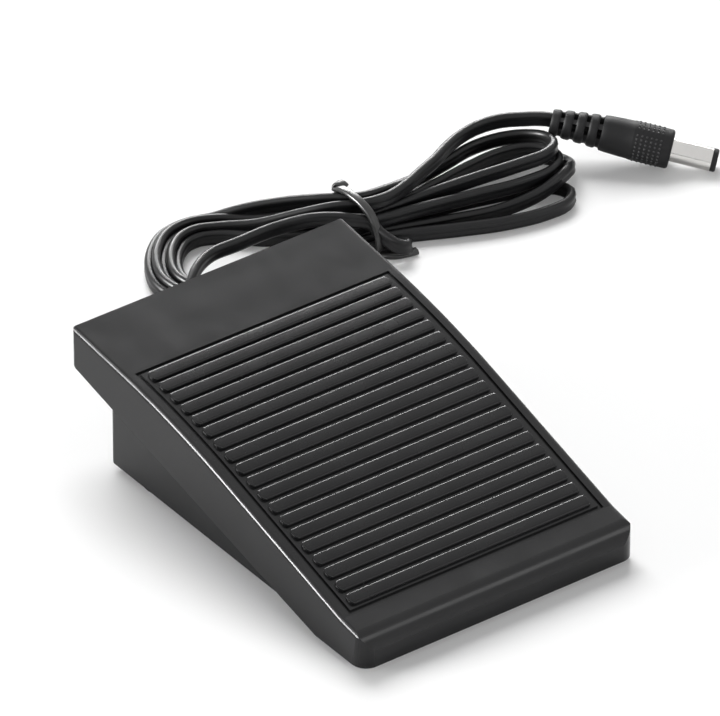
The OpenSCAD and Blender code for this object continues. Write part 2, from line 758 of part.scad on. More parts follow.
module wire(side, shade, end_z) {
    x = side * 0.8;
    route = [[x, INNER_END, lead_z], [x, 25, lead_z], [x + side * 2.5, 20, lead_z - 0.5],
        [x + side * 2, 15, end_z + 0.2], [side * 0.3, switch_y1 + 6, end_z],
        [side * 0.3, switch_y1 + terminal_l + 0.1, end_z]];
    color(shade) tube(smooth_path(route, 4), 0.6, 8);
}
module wire_live() { wire(1, [0.6, 0.08, 0.06], switch_z0 + 6.65); }
module wire_return() { wire(-1, [0.08, 0.08, 0.08], switch_z0 + 1.45); }

module cord_lead() { color([0.05, 0.05, 0.05]) tube(smooth_path(LEAD, 2), lead_r); }
module cord_tail() { color([0.05, 0.05, 0.05]) tube(smooth_path(TAIL, 2), lead_r); }

// Plan of one lobe of the tied hank, from two circles to the waist
module lobe_plan(c1, r1, c2, r2) {
    hull() {
        translate(c1) circle(r1);
        translate(c2) circle(r2);
        translate(hank_waist) circle(waist_w / 2);
    }
}

module at_waist() {
    translate([hank_waist[0], hank_waist[1], 0]) rotate([0, 0, tie_turn]) children();
}

module at_tail() { translate([0, -waist_w / 2, 0]) rotate([0, 0, tie_tail_turn]) children(); }

module cord_hank() {
    side = waist_w / 2;
    color([0.05, 0.05, 0.05]) difference() {
        union() {
            linear_extrude(hank_left_h) lobe_plan([22, 93], 13.5, [35, 98], 12);
            linear_extrude(hank_right_h) lobe_plan([103, 84], 11, [108.5, 74], 11);
            translate([0, 0, nose_lift]) linear_extrude(hank_left_h - nose_lift)
                lobe_plan([66.5, 72.5], 2.6, [65, 81], 3);
        }
        at_waist() difference() {
            translate([-tie_w / 2 - 0.2, -15, -1]) cube([tie_w + 0.4, 30, hank_right_h + 2]);
            translate([-3, -side + 1, tie_t + 0.2]) cube([6, 2 * side - 2, hank_right_h - tie_t - 0.4]);
        }
        at_waist() at_tail() translate([-tie_w / 2 - 0.2, -tie_tail_l - 1, -1])
            cube([tie_w + 0.4, tie_tail_l + 2.2, tie_t + 1.3]);
    }
}

module cord_tie() {
    side = waist_w / 2;
    color([0.07, 0.07, 0.07]) at_waist() {
        difference() {
            translate([-tie_w / 2, -side, 0.1]) cube([tie_w, 2 * side, hank_right_h + tie_t]);
            translate([-tie_w, -side + tie_t, 0.1 + tie_t])
                cube([2 * tie_w, 2 * side - 2 * tie_t, hank_right_h - tie_t]);
        }
        at_tail() translate([-tie_w / 2, -tie_tail_l, 0.1]) cube([tie_w, tie_tail_l + 0.3, tie_t]);
        translate([0, side - 1.4, hank_right_h + tie_t]) across(tie_w + 0.4) circle(1.4);
    }
}

// The plug's own frame: Z along its axis towards the tip, the housing's front rim at the origin
module at_plug() { translate(plug_at) rotate([0, 90 + plug_dip, plug_yaw]) children(); }

function relief_radius(z) =
    relief_r0 + (relief_r1 - relief_r0) * (-housing_l - z) / relief_l;

module plug_housing() {
    step = relief_l / lobes;
    color([0.05, 0.05, 0.05]) at_plug() difference() {
        union() {
            rotate_extrude() polygon([[0, -housing_l], [housing_r - 0.7, -housing_l], [housing_r - 0.3, -housing_l + 0.6],
                [housing_r, -housing_l + 5], [housing_r, -0.6], [housing_r - 0.5, 0], [0, 0]]);
            for (i = [0 : lobes - 1]) translate([0, 0, -housing_l - (i + 1) * step + 0.4])
                cylinder(r1 = relief_radius(-housing_l - (i + 1) * step),
                    r2 = relief_radius(-housing_l - i * step), h = step - 0.8);
            translate([0, 0, -housing_l - relief_l + 0.4]) cylinder(r = relief_r1 - 0.5, h = relief_l);
        }
        translate([0, 0, -barrel_in]) cylinder(r = shank_r + 0.02, h = barrel_in + 2);
        translate([0, 0, -housing_l - relief_l - 1]) cylinder(r = lead_r + 0.1, h = 4);
    }
}

module plug_barrel() {
    color([0.82, 0.82, 0.83]) at_plug() difference() {
        union() {
            cylinder(r = barrel_r, h = barrel_l);
            translate([0, 0, -barrel_in]) cylinder(r = shank_r, h = barrel_in + 1);
        }
        translate([0, 0, -barrel_in - 1]) cylinder(r = barrel_r - barrel_t, h = barrel_in + barrel_l + 2);
    }
}

module plug_insulator() {
    out = barrel_r - barrel_t - 0.02;
    bore = contact_r + contact_t + 0.02;
    color([0.03, 0.03, 0.03]) at_plug() rotate_extrude() polygon([[bore, -barrel_in], [out, -barrel_in],
        [out, barrel_l + 0.01], [barrel_r - 0.02, barrel_l + 0.01], [barrel_r - 0.02, barrel_l + tip_l - 0.3],
        [barrel_r - 0.32, barrel_l + tip_l], [bore, barrel_l + tip_l]]);
}

module plug_contact() {
    color([0.8, 0.66, 0.35]) at_plug() translate([0, 0, -barrel_in]) difference() {
        cylinder(r = contact_r + contact_t, h = barrel_in + barrel_l + tip_l - 0.5);
        translate([0, 0, 1]) cylinder(r = contact_r, h = barrel_in + barrel_l + tip_l);
    }
}

pedal_cover();
base_tray();
hinge_pin();
foot_rear_left();
foot_rear_right();
foot_front_left();
foot_front_right();
return_spring_left();
return_spring_right();
stop_bumper_left();
stop_bumper_right();
switch_bracket();
bracket_screws();
switch_case();
switch_lid();
switch_screws();
switch_button();
switch_lever();
switch_terminals();
cord_grommet();
cord_clamp();
clamp_screws();
cord_inner();
wire_live();
wire_return();
cord_lead();
cord_hank();
cord_tie();
cord_tail();
plug_housing();
plug_barrel();
plug_insulator();
plug_contact();
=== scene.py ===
"""Foot pedal of a small sewing machine: its looks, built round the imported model.

Lengths in the dataclasses are millimetres and are turned to metres when a mesh is made.
"""

import json
import logging
import math
from dataclasses import dataclass, field
from enum import Enum

import bmesh
import bpy
import numpy as np
from mathutils import Matrix, Vector

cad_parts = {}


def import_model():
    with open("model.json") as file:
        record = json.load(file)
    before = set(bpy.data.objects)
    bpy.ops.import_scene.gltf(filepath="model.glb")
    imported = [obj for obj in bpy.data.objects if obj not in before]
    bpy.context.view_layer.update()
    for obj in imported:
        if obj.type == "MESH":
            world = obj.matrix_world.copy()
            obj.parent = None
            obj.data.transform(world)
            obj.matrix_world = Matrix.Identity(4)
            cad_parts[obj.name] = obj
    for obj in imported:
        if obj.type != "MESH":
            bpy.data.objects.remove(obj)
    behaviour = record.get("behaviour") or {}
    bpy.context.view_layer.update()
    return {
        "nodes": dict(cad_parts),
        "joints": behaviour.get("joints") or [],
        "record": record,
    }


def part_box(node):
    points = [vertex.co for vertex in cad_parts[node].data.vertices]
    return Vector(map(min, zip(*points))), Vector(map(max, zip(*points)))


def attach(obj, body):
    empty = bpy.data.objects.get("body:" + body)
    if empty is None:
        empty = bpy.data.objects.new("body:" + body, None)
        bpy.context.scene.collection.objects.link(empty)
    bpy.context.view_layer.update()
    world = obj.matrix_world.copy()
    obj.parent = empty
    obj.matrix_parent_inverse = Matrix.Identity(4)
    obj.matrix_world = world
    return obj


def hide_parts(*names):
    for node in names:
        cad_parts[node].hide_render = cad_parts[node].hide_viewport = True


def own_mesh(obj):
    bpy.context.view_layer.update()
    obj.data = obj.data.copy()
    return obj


MM = 0.001
MERGE_DISTANCE = 1e-7  # metres: corners closer than this become one
CREASE_ANGLE = math.radians(35)  # an edge sharper than this is a crease
CURVE_STEPS = 12  # fine steps between two given points of a line
WHITE = (1.0, 1.0, 1.0, 1.0)
LOG = logging.getLogger("pedal")
Point = tuple[float, float, float]


# ---------------------------------------------------------------- meshes


class Shading(Enum):
    """How a new mesh is shaded."""

    SMOOTH = "smooth"
    CREASED = "creased"
    FLAT = "flat"


def new_mesh(name: str, points: np.ndarray, faces: list, shading: Shading) -> bpy.types.Object:
    """Makes a mesh object at the origin and links it.

    Args:
        name: the object's name.
        points: corners in millimetres, one row each.
        faces: lists of corner numbers.
        shading: smooth, flat, or smooth with creases at sharp edges.

    Returns:
        The new object.
    """
    mesh = bpy.data.meshes.new(name)
    mesh.from_pydata((np.asarray(points, float) * MM).tolist(), [], faces)
    mesh.update()
    obj = bpy.data.objects.new(name, mesh)
    bpy.context.scene.collection.objects.link(obj)
    mend_normals(mesh)
    shade(obj, shading)
    return obj


def mend_normals(mesh: bpy.types.Mesh) -> None:
    """Turns all of a closed mesh's faces outwards.

    Args:
        mesh: the mesh to mend.
    """
    work = bmesh.new()
    work.from_mesh(mesh)
    bmesh.ops.remove_doubles(work, verts=work.verts, dist=MERGE_DISTANCE)
    bmesh.ops.recalc_face_normals(work, faces=work.faces)
    work.to_mesh(mesh)
    work.free()


def shade(obj: bpy.types.Object, shading: Shading) -> None:
    """Sets how an object's faces are shaded.

    Args:
        obj: the object.
        shading: smooth, flat, or smooth with creases at sharp edges.
    """
    mesh = obj.data
    mesh.polygons.foreach_set("use_smooth", [shading is not Shading.FLAT] * len(mesh.polygons))
    if shading is Shading.CREASED:
        mesh.set_sharp_from_angle(angle=CREASE_ANGLE)
    mesh.update()


def loft(rings: list, closed_ends: bool = True) -> tuple[np.ndarray, list]:
    """Joins rings of equal length with quads.

    Args:
        rings: one array of points for each ring.
        closed_ends: whether the first and the last ring are filled.

    Returns:
        The points and the faces.
    """
    count = len(rings[0])
    points = np.concatenate([np.asarray(ring, float) for ring in rings])
    faces = []
    for row in range(len(rings) - 1):
        for i in range(count):
            j = (i + 1) % count
            faces.append([row * count + i, row * count + j, (row + 1) * count + j, (row + 1) * count + i])
    if closed_ends:
        faces.append(list(range(count))[::-1])
        faces.append([(len(rings) - 1) * count + i for i in range(count)])
    return points, faces


def smooth_line(points: np.ndarray, step: float) -> np.ndarray:
    """A smooth curve through points, in even steps.

    Args:
        points: the points that it passes, one row each.
        step: distance between two points of the result.

    Returns:
        The points of the curve.
    """
    gaps = np.linalg.norm(np.diff(points, axis=0), axis=1)
    chords = np.diff(points, axis=0) / gaps[:, None]
    slopes = np.zeros_like(points)
    both_gaps = gaps[:-1] + gaps[1:]
    slopes[1:-1] = (chords[:-1] * gaps[1:, None] + chords[1:] * gaps[:-1, None]) / both_gaps[:, None]
    slopes[0], slopes[-1] = chords[0], chords[-1]
    fine = []
    for i, gap in enumerate(gaps):
        for t in np.linspace(0, 1, CURVE_STEPS, endpoint=False):
            fine.append(
                (2 * t**3 - 3 * t**2 + 1) * points[i]
                + (t**3 - 2 * t**2 + t) * gap * slopes[i]
                + (3 * t**2 - 2 * t**3) * points[i + 1]
                + (t**3 - t**2) * gap * slopes[i + 1]
            )
    fine = np.array(fine + [points[-1]])
    along = np.concatenate([[0], np.cumsum(np.linalg.norm(np.diff(fine, axis=0), axis=1))])
    places = np.linspace(0, along[-1], max(2, int(round(along[-1] / step)) + 1))
    return np.stack([np.interp(places, along, fine[:, k]) for k in range(3)], axis=1)


def sweep(line: np.ndarray, section: np.ndarray, upright: Vector) -> tuple[np.ndarray, list]:
    """Carries a flat section along a line, its second axis kept near upright.

    Args:
        line: the points that it follows.
        section: corners of the section, across and up.
        upright: the direction that the section's second axis keeps to.

    Returns:
        The points and the faces.
    """
    ahead = np.gradient(line, axis=0)
    ahead /= np.linalg.norm(ahead, axis=1)[:, None]
    up = np.array(upright)[None, :] - ahead * (ahead @ np.array(upright))[:, None]
    up /= np.linalg.norm(up, axis=1)[:, None]
    across = np.cross(ahead, up)
    rings = [p + section[:, :1] * a + section[:, 1:] * u for p, a, u in zip(line, across, up)]
    return loft(rings)


def flat_section(wide: float, thick: float, reach: float, count: int) -> np.ndarray:
    """Draws a flat section with two round edges, thin way across and wide way up.

    Args:
        wide: its width.
        thick: its thickness.
        reach: how far an edge goes to each side of its own middle, in radians.
        count: points on each edge.

    Returns:
        The corners of the section, in turn.
    """
    r = thick / 2
    corners = []
    for side in (1, -1):
        for turn in np.linspace(-reach, reach, count):
            corners.append((-side * r * math.sin(turn), side * (wide / 2 - r + r * math.cos(turn))))
    return np.array(corners)


def round_points(radius: np.ndarray | float, turn: np.ndarray, level: np.ndarray | float) -> np.ndarray:
    """Gives points round the z axis, at each angle's radius and height."""
    x, y = radius * np.cos(turn), radius * np.sin(turn)
    return np.stack(np.broadcast_arrays(x, y, level), axis=1)


# ---------------------------------------------------------------- nodes


def fill(tree: bpy.types.NodeTree, node: bpy.types.Node, inputs: dict) -> None:
    """Sets or links a node's inputs.

    Args:
        tree: the tree that the node is in.
        node: the node.
        inputs: sockets or plain values, by the input's name or number.
    """
    for key, value in inputs.items():
        if isinstance(value, bpy.types.NodeSocket):
            tree.links.new(value, node.inputs[key])
        else:
            node.inputs[key].default_value = value


def add_node(tree: bpy.types.NodeTree, kind: str, inputs: dict, **options: str) -> bpy.types.Node:
    """Adds a node to a tree.

    Args:
        tree: the tree.
        kind: the node's type.
        inputs: sockets or plain values, by the input's name or number.
        options: properties of the node.

    Returns:
        The new node.
    """
    made = tree.nodes.new(kind)
    for option, value in options.items():
        setattr(made, option, value)
    fill(tree, made, inputs)
    return made


# ---------------------------------------------------------------- finishes


FINE_DETAIL, BROAD_DETAIL = 3.0, 4.0
BROAD_SCALE = 0.04  # the broad unevenness's scale, as a share of the fine one's
NOISE_LOW, NOISE_HIGH = 0.3, 0.7  # the noise values between which gloss and shade change
GLOSS_FLOOR = 0.02  # no finish is smoother than this


@dataclass(frozen=True)
class Grain:
    """Fine unevenness of a surface.

    Attributes:
        size: width of one bump, in millimetres.
        depth: height of one bump, in millimetres.
        gloss_spread: how far the roughness wanders from its middle value.
        shade_spread: how far the colour wanders, as a share of itself.
    """

    size: float = 0.35
    depth: float = 0.012
    gloss_spread: float = 0.05
    shade_spread: float = 0.12


@dataclass(frozen=True)
class Finish:
    """A moulded, rubber or metal surface.

    Attributes:
        name: the material's name.
        colour: linear red, green and blue.
        roughness: middle roughness.
        metallic: 1 for bare or plated metal, otherwise 0.
        specular: specular level.
        grain: the surface's fine unevenness.
    """

    name: str
    colour: tuple[float, float, float]
    roughness: float
    metallic: float = 0.0
    specular: float = 0.5
    grain: Grain = field(default_factory=Grain)

    def build(self) -> bpy.types.Material:
        """Makes the material.

        Returns:
            The material, with its grain on object coordinates.
        """
        material = bpy.data.materials.new(self.name)
        material.use_nodes = True
        tree = material.node_tree
        place = tree.nodes.new("ShaderNodeTexCoord").outputs["Object"]
        size = self.grain.size * MM
        noise = "ShaderNodeTexNoise"
        fine = add_node(tree, noise, {"Vector": place, "Scale": 1 / size, "Detail": FINE_DETAIL})
        broad = add_node(tree, noise, {"Vector": place, "Scale": BROAD_SCALE / size, "Detail": BROAD_DETAIL})
        bumps = {"Strength": 1.0, "Distance": self.grain.depth * MM, "Height": fine.outputs["Fac"]}
        spread = {
            "Value": broad.outputs["Fac"],
            "From Min": NOISE_LOW,
            "From Max": NOISE_HIGH,
            "To Min": max(GLOSS_FLOOR, self.roughness - self.grain.gloss_spread),
            "To Max": min(1.0, self.roughness + self.grain.gloss_spread),
        }
        tone = add_node(tree, "ShaderNodeValToRGB", {"Fac": broad.outputs["Fac"]})
        ends = ((NOISE_LOW, 1 - self.grain.shade_spread), (NOISE_HIGH, 1 + self.grain.shade_spread))
        for element, (position, share) in zip(tone.color_ramp.elements, ends):
            element.position = position
            element.color = (*[min(1.0, c * share) for c in self.colour], 1.0)
        surface = {
            "Metallic": self.metallic,
            "Specular IOR Level": self.specular,
            "Normal": add_node(tree, "ShaderNodeBump", bumps).outputs["Normal"],
            "Roughness": add_node(tree, "ShaderNodeMapRange", spread).outputs["Result"],
            "Base Color": tone.outputs["Color"],
        }
        fill(tree, tree.nodes["Principled BSDF"], surface)
        return material


COVER = Finish(
    "cover_plastic", (0.010, 0.010, 0.0105), 0.22, specular=0.27, grain=Grain(0.3, 0.0012, 0.03, 0.08)
)
# The ribs wear a darker copy of the cover plastic: its darker colour is painted shade that darkens the tread.
RIBS_PAINTED_SHADE = Finish(
    "rib_plastic_painted_shade", (0.007, 0.007, 0.0075), 0.26, specular=0.22, grain=Grain(0.3, 0.0008, 0.03, 0.08)
)
TRAY = Finish(
    "tray_plastic", (0.010, 0.010, 0.0105), 0.36, specular=0.28, grain=Grain(0.3, 0.008, 0.04, 0.08)
)
RUBBER = Finish(
    "black_rubber", (0.012, 0.012, 0.012), 0.72, specular=0.35, grain=Grain(0.2, 0.012, 0.05, 0.15)
)
JACKET = Finish(
    "cord_vinyl", (0.006, 0.006, 0.0065), 0.36, specular=0.26, grain=Grain(0.5, 0.006, 0.05, 0.08)
)
PLUG = Finish(
    "plug_vinyl", (0.010, 0.010, 0.0105), 0.55, specular=0.16, grain=Grain(0.22, 0.012, 0.05, 0.1)
)
# The grip dots wear a lighter copy of the plug vinyl: its lighter colour is painted highlight on the dots.
PLUG_DOTS_PAINTED_HIGHLIGHT = Finish(
    "plug_dot_painted_highlight", (0.022, 0.022, 0.023), 0.4, specular=0.3, grain=Grain(0.2, 0.004, 0.05, 0.1)
)
NICKEL = Finish("nickel_plate", (0.6, 0.59, 0.575), 0.18, 1.0, grain=Grain(0.25, 0.001, 0.05, 0.03))
BRASS = Finish("brass", (0.72, 0.52, 0.24), 0.25, 1.0, grain=Grain(0.2, 0.001, 0.06, 0.05))
STEEL = Finish("zinc_steel", (0.55, 0.55, 0.54), 0.28, 1.0, grain=Grain(0.2, 0.001, 0.08, 0.06))
SWITCH_BLACK = Finish("switch_black", (0.02, 0.02, 0.02), 0.4, grain=Grain(0.2, 0.004, 0.04, 0.08))
SWITCH_RED = Finish("switch_red", (0.42, 0.025, 0.02), 0.4, grain=Grain(0.2, 0.004, 0.04, 0.06))
BUTTON = Finish("button_white", (0.75, 0.74, 0.7), 0.35, grain=Grain(0.2, 0.003, 0.03, 0.03))
WIRE_RED = Finish("wire_red", (0.45, 0.02, 0.015), 0.35, grain=Grain(0.3, 0.004, 0.04, 0.05))
TIE_WIRE = Finish("tie_vinyl", (0.016, 0.016, 0.016), 0.3, grain=Grain(0.4, 0.006, 0.05, 0.08))

SLOT_FINISHES = {
    "black_cover": COVER,
    "black_tray": TRAY,
    "black_rubber": RUBBER,
    "cord_jacket": JACKET,
    "plug_moulding": PLUG,
    "nickel": NICKEL,
    "brass_contact": BRASS,
    "steel": STEEL,
    "switch_black": SWITCH_BLACK,
    "switch_red": SWITCH_RED,
    "button_white": BUTTON,
    "wire_red": WIRE_RED,
}


@dataclass
class Wardrobe:
    """Every finish's material, made once."""

    made: dict[str, bpy.types.Material] = field(default_factory=dict)

    def get(self, finish: Finish) -> bpy.types.Material:
        """Gives the material of a finish, made at its first use.

        Args:
            finish: the finish.

        Returns:
            Its material.
        """
        if finish.name not in self.made:
            self.made[finish.name] = finish.build()
        return self.made[finish.name]

    def dress(self, obj: bpy.types.Object, finish: Finish) -> None:
        """Gives an object one finish all over.

        Args:
            obj: the object.
            finish: its finish.
        """
        obj.data.materials.clear()
        obj.data.materials.append(self.get(finish))


# ---------------------------------------------------------------- setting


@dataclass(frozen=True)
class Lamp:
    """A soft lamp.

    Attributes:
        name: the lamp's name.
        place: where it hangs, in metres.
        size: its two sides, in metres.
        power: its power in watts.
        shades: whether it lights dull surfaces.
        shines: whether glossy surfaces mirror it.
    """

    name: str
    place: tuple[float, float, float]
    size: tuple[float, float]
    power: float
    shades: bool = True
    shines: bool = True


LAMPS = (
    Lamp("key", (0.42, 1.05, 1.25), (1.1, 1.1), 29.5, shines=False),
    Lamp("front", (0.35, -1.4, 0.3), (0.6, 0.4), 14.0, shines=False),
    Lamp("rear_left", (-1.08, 0.69, 0.75), (0.7, 0.25), 90.0, shades=False),
    Lamp("rear_right", (0.87, 1.36, 0.6), (1.0, 0.3), 30.0, shades=False),
    Lamp("front_right", (0.75, -0.85, 1.0), (0.4, 0.4), 1.5, shades=False),
    Lamp("left", (-1.3, 0.6, 0.3), (0.6, 0.4), 14.0, shines=False),
)


@dataclass
class Studio:
    """Camera, floor and soft light.

    Attributes:
        eye: where the camera stands.
        look: the direction that it faces.
        lens: its focal length.
        sensor: its sensor's width.
        near: the nearest distance that it sees, in metres.
        far: the farthest distance that it sees, in metres.
        room: strength of the room's own light on the object.
        floor_w: the floor's side.
        floor_tone: the floor's colour, the same in red, green and blue.
        floor_roughness: the floor's roughness.
        floor_white: share of plain white in what the camera sees of the floor.
    """

    eye: Point = (-1414.8, -1937.5, 1666.3)
    look: Point = (0.4885, 0.6680, -0.5614)
    lens: float = 660.7
    sensor: float = 36.0
    near: float = 0.05
    far: float = 30.0
    room: float = 0.21
    floor_w: float = 6000.0
    floor_tone: float = 0.97
    floor_roughness: float = 0.9
    floor_white: float = 0.12

    def camera(self) -> None:
        """Makes the camera and sets it as the scene's own."""
        data = bpy.data.cameras.new("camera")
        data.lens = self.lens
        data.sensor_width = self.sensor
        data.clip_start, data.clip_end = self.near, self.far
        camera = bpy.data.objects.new("camera", data)
        bpy.context.scene.collection.objects.link(camera)
        camera.location = Vector(self.eye) * MM
        camera.rotation_mode = "QUATERNION"
        camera.rotation_quaternion = Vector(self.look).to_track_quat("-Z", "Y")
        bpy.context.scene.camera = camera

    def area(self, lamp: Lamp) -> None:
        """Makes one soft lamp that faces the object.

        Args:
            lamp: where it hangs, its size and its power.
        """
        data = bpy.data.lights.new(lamp.name, "AREA")
        data.shape = "RECTANGLE"
        data.size, data.size_y = lamp.size
        data.energy = lamp.power
        obj = bpy.data.objects.new(lamp.name, data)
        bpy.context.scene.collection.objects.link(obj)
        obj.location = Vector(lamp.place)
        obj.rotation_mode = "QUATERNION"
        obj.rotation_quaternion = (-Vector(lamp.place)).to_track_quat("-Z", "Y")
        obj.visible_diffuse = lamp.shades
        obj.visible_glossy = lamp.shines

    def lights(self) -> None:
        """Hangs the lamps and sets the room's own light."""
        for lamp in LAMPS:
            self.area(lamp)
        world = bpy.data.worlds.new("room")
        bpy.context.scene.world = world
        world.use_nodes = True
        tree = world.node_tree
        room = tree.nodes["Background"]
        fill(tree, room, {"Color": WHITE, "Strength": self.room})
        bright = add_node(tree, "ShaderNodeBackground", {"Color": WHITE, "Strength": 1.0})
        path = tree.nodes.new("ShaderNodeLightPath")
        white = path.outputs["Is Camera Ray"]
        for ray in ("Is Glossy Ray", "Is Transmission Ray"):
            either = {0: white, 1: path.outputs[ray]}
            white = add_node(tree, "ShaderNodeMath", either, operation="MAXIMUM").outputs[0]
        mixed = {0: white, 1: room.outputs[0], 2: bright.outputs[0]}
        mix = add_node(tree, "ShaderNodeMixShader", mixed)
        fill(tree, tree.nodes["World Output"], {"Surface": mix.outputs[0]})

    def floor(self) -> None:
        """Lays the pale floor."""
        half = self.floor_w / 2
        corners = [(-half, -half, 0), (half, -half, 0), (half, half, 0), (-half, half, 0)]
        obj = new_mesh("floor", np.array(corners), [[0, 1, 2, 3]], Shading.FLAT)
        material = bpy.data.materials.new("pale_floor")
        material.use_nodes = True
        tree = material.node_tree
        shader = tree.nodes["Principled BSDF"]
        surface = {
            "Base Color": (*[self.floor_tone] * 3, 1.0),
            "Roughness": self.floor_roughness,
            "Specular IOR Level": 0.0,
        }
        fill(tree, shader, surface)
        glow = add_node(tree, "ShaderNodeEmission", {"Strength": 1.0})
        seen = tree.nodes.new("ShaderNodeLightPath").outputs["Is Camera Ray"]
        share = add_node(tree, "ShaderNodeMath", {0: seen, 1: self.floor_white}, operation="MULTIPLY")
        mixed = {0: share.outputs[0], 1: shader.outputs[0], 2: glow.outputs[0]}
        mix = add_node(tree, "ShaderNodeMixShader", mixed)
        fill(tree, tree.nodes["Material Output"], {"Surface": mix.outputs[0]})
        obj.data.materials.append(material)


# ---------------------------------------------------------------- rules drawn with nodes


@dataclass
class NodeBench:
    """A geometry node tree under construction, with named number inputs.

    Attributes:
        name: the tree's name.
        tree: the tree itself.
        source: the node that gives the tree's inputs.
        sockets: each named number's socket identifier.
    """

    name: str
    tree: bpy.types.GeometryNodeTree = field(init=False)
    source: bpy.types.Node = field(init=False)
    sockets: dict[str, str] = field(default_factory=dict)

    def __post_init__(self) -> None:
        """Makes the empty tree with its geometry sockets."""
        self.tree = bpy.data.node_groups.new(self.name, "GeometryNodeTree")
        self.tree.interface.new_socket("Shape", in_out="INPUT", socket_type="NodeSocketGeometry")
        self.tree.interface.new_socket("Result", in_out="OUTPUT", socket_type="NodeSocketGeometry")
        self.source = self.tree.nodes.new("NodeGroupInput")

    def number(self, name: str, whole: bool = False) -> bpy.types.NodeSocket:
        """Adds a named number input.

        Args:
            name: the input's name.
            whole: whether it counts something.

        Returns:
            The input's socket inside the tree.
        """
        kind = "NodeSocketInt" if whole else "NodeSocketFloat"
        self.sockets[name] = self.tree.interface.new_socket(name, in_out="INPUT", socket_type=kind).identifier
        return self.source.outputs[name]

    def node(self, kind: str, inputs: dict, **options: str) -> bpy.types.Node:
        """Adds a node to the bench's own tree."""
        return add_node(self.tree, kind, inputs, **options)

    def math(self, operation: str, *values: object) -> bpy.types.NodeSocket:
        """Adds one step of arithmetic and gives its result."""
        return self.node("ShaderNodeMath", dict(enumerate(values)), operation=operation).outputs[0]

    def spread(self, points: bpy.types.NodeSocket, place: bpy.types.NodeSocket) -> bpy.types.NodeSocket:
        """Moves each point to the place worked out for it."""
        return self.node("GeometryNodeSetPosition", {"Geometry": points, "Position": place}).outputs[0]

    def copies(self, points: bpy.types.NodeSocket, turn: bpy.types.NodeSocket) -> bpy.types.NodeSocket:
        """Puts a copy of the tree's shape on each point.

        Args:
            points: where the copies go.
            turn: each copy's rotation.

        Returns:
            The copies.
        """
        shape = self.source.outputs["Shape"]
        inputs = {"Points": points, "Instance": shape, "Rotation": turn}
        return self.node("GeometryNodeInstanceOnPoints", inputs).outputs[0]

    def finish(self, shape: bpy.types.NodeSocket, material: bpy.types.Material) -> None:
        """Ends the tree with real geometry that wears a material.

        Args:
            shape: the geometry so far.
            material: what it wears.
        """
        real = self.node("GeometryNodeRealizeInstances", {0: shape})
        worn = self.node("GeometryNodeSetMaterial", {"Geometry": real.outputs[0], "Material": material})
        out = self.tree.nodes.new("NodeGroupOutput")
        fill(self.tree, out, {0: worn.outputs[0]})

    def bake(self, seed: bpy.types.Object, values: dict[str, float]) -> bpy.types.Object:
        """Runs the tree on an object and keeps its result as a plain mesh.

        Args:
            seed: the object that the tree starts from.
            values: each named input's value.

        Returns:
            The same object, with the result as its mesh and no modifier.
        """
        modifier = seed.modifiers.new(self.name, "NODES")
        modifier.node_group = self.tree
        for name, value in values.items():
            modifier[self.sockets[name]] = value
        bpy.context.view_layer.update()
        evaluated = seed.evaluated_get(bpy.context.evaluated_depsgraph_get())
        mesh = bpy.data.meshes.new_from_object(evaluated)
        seed.modifiers.remove(modifier)
        seed.data = mesh
        mend_normals(mesh)
        return seed


# ---------------------------------------------------------------- cover


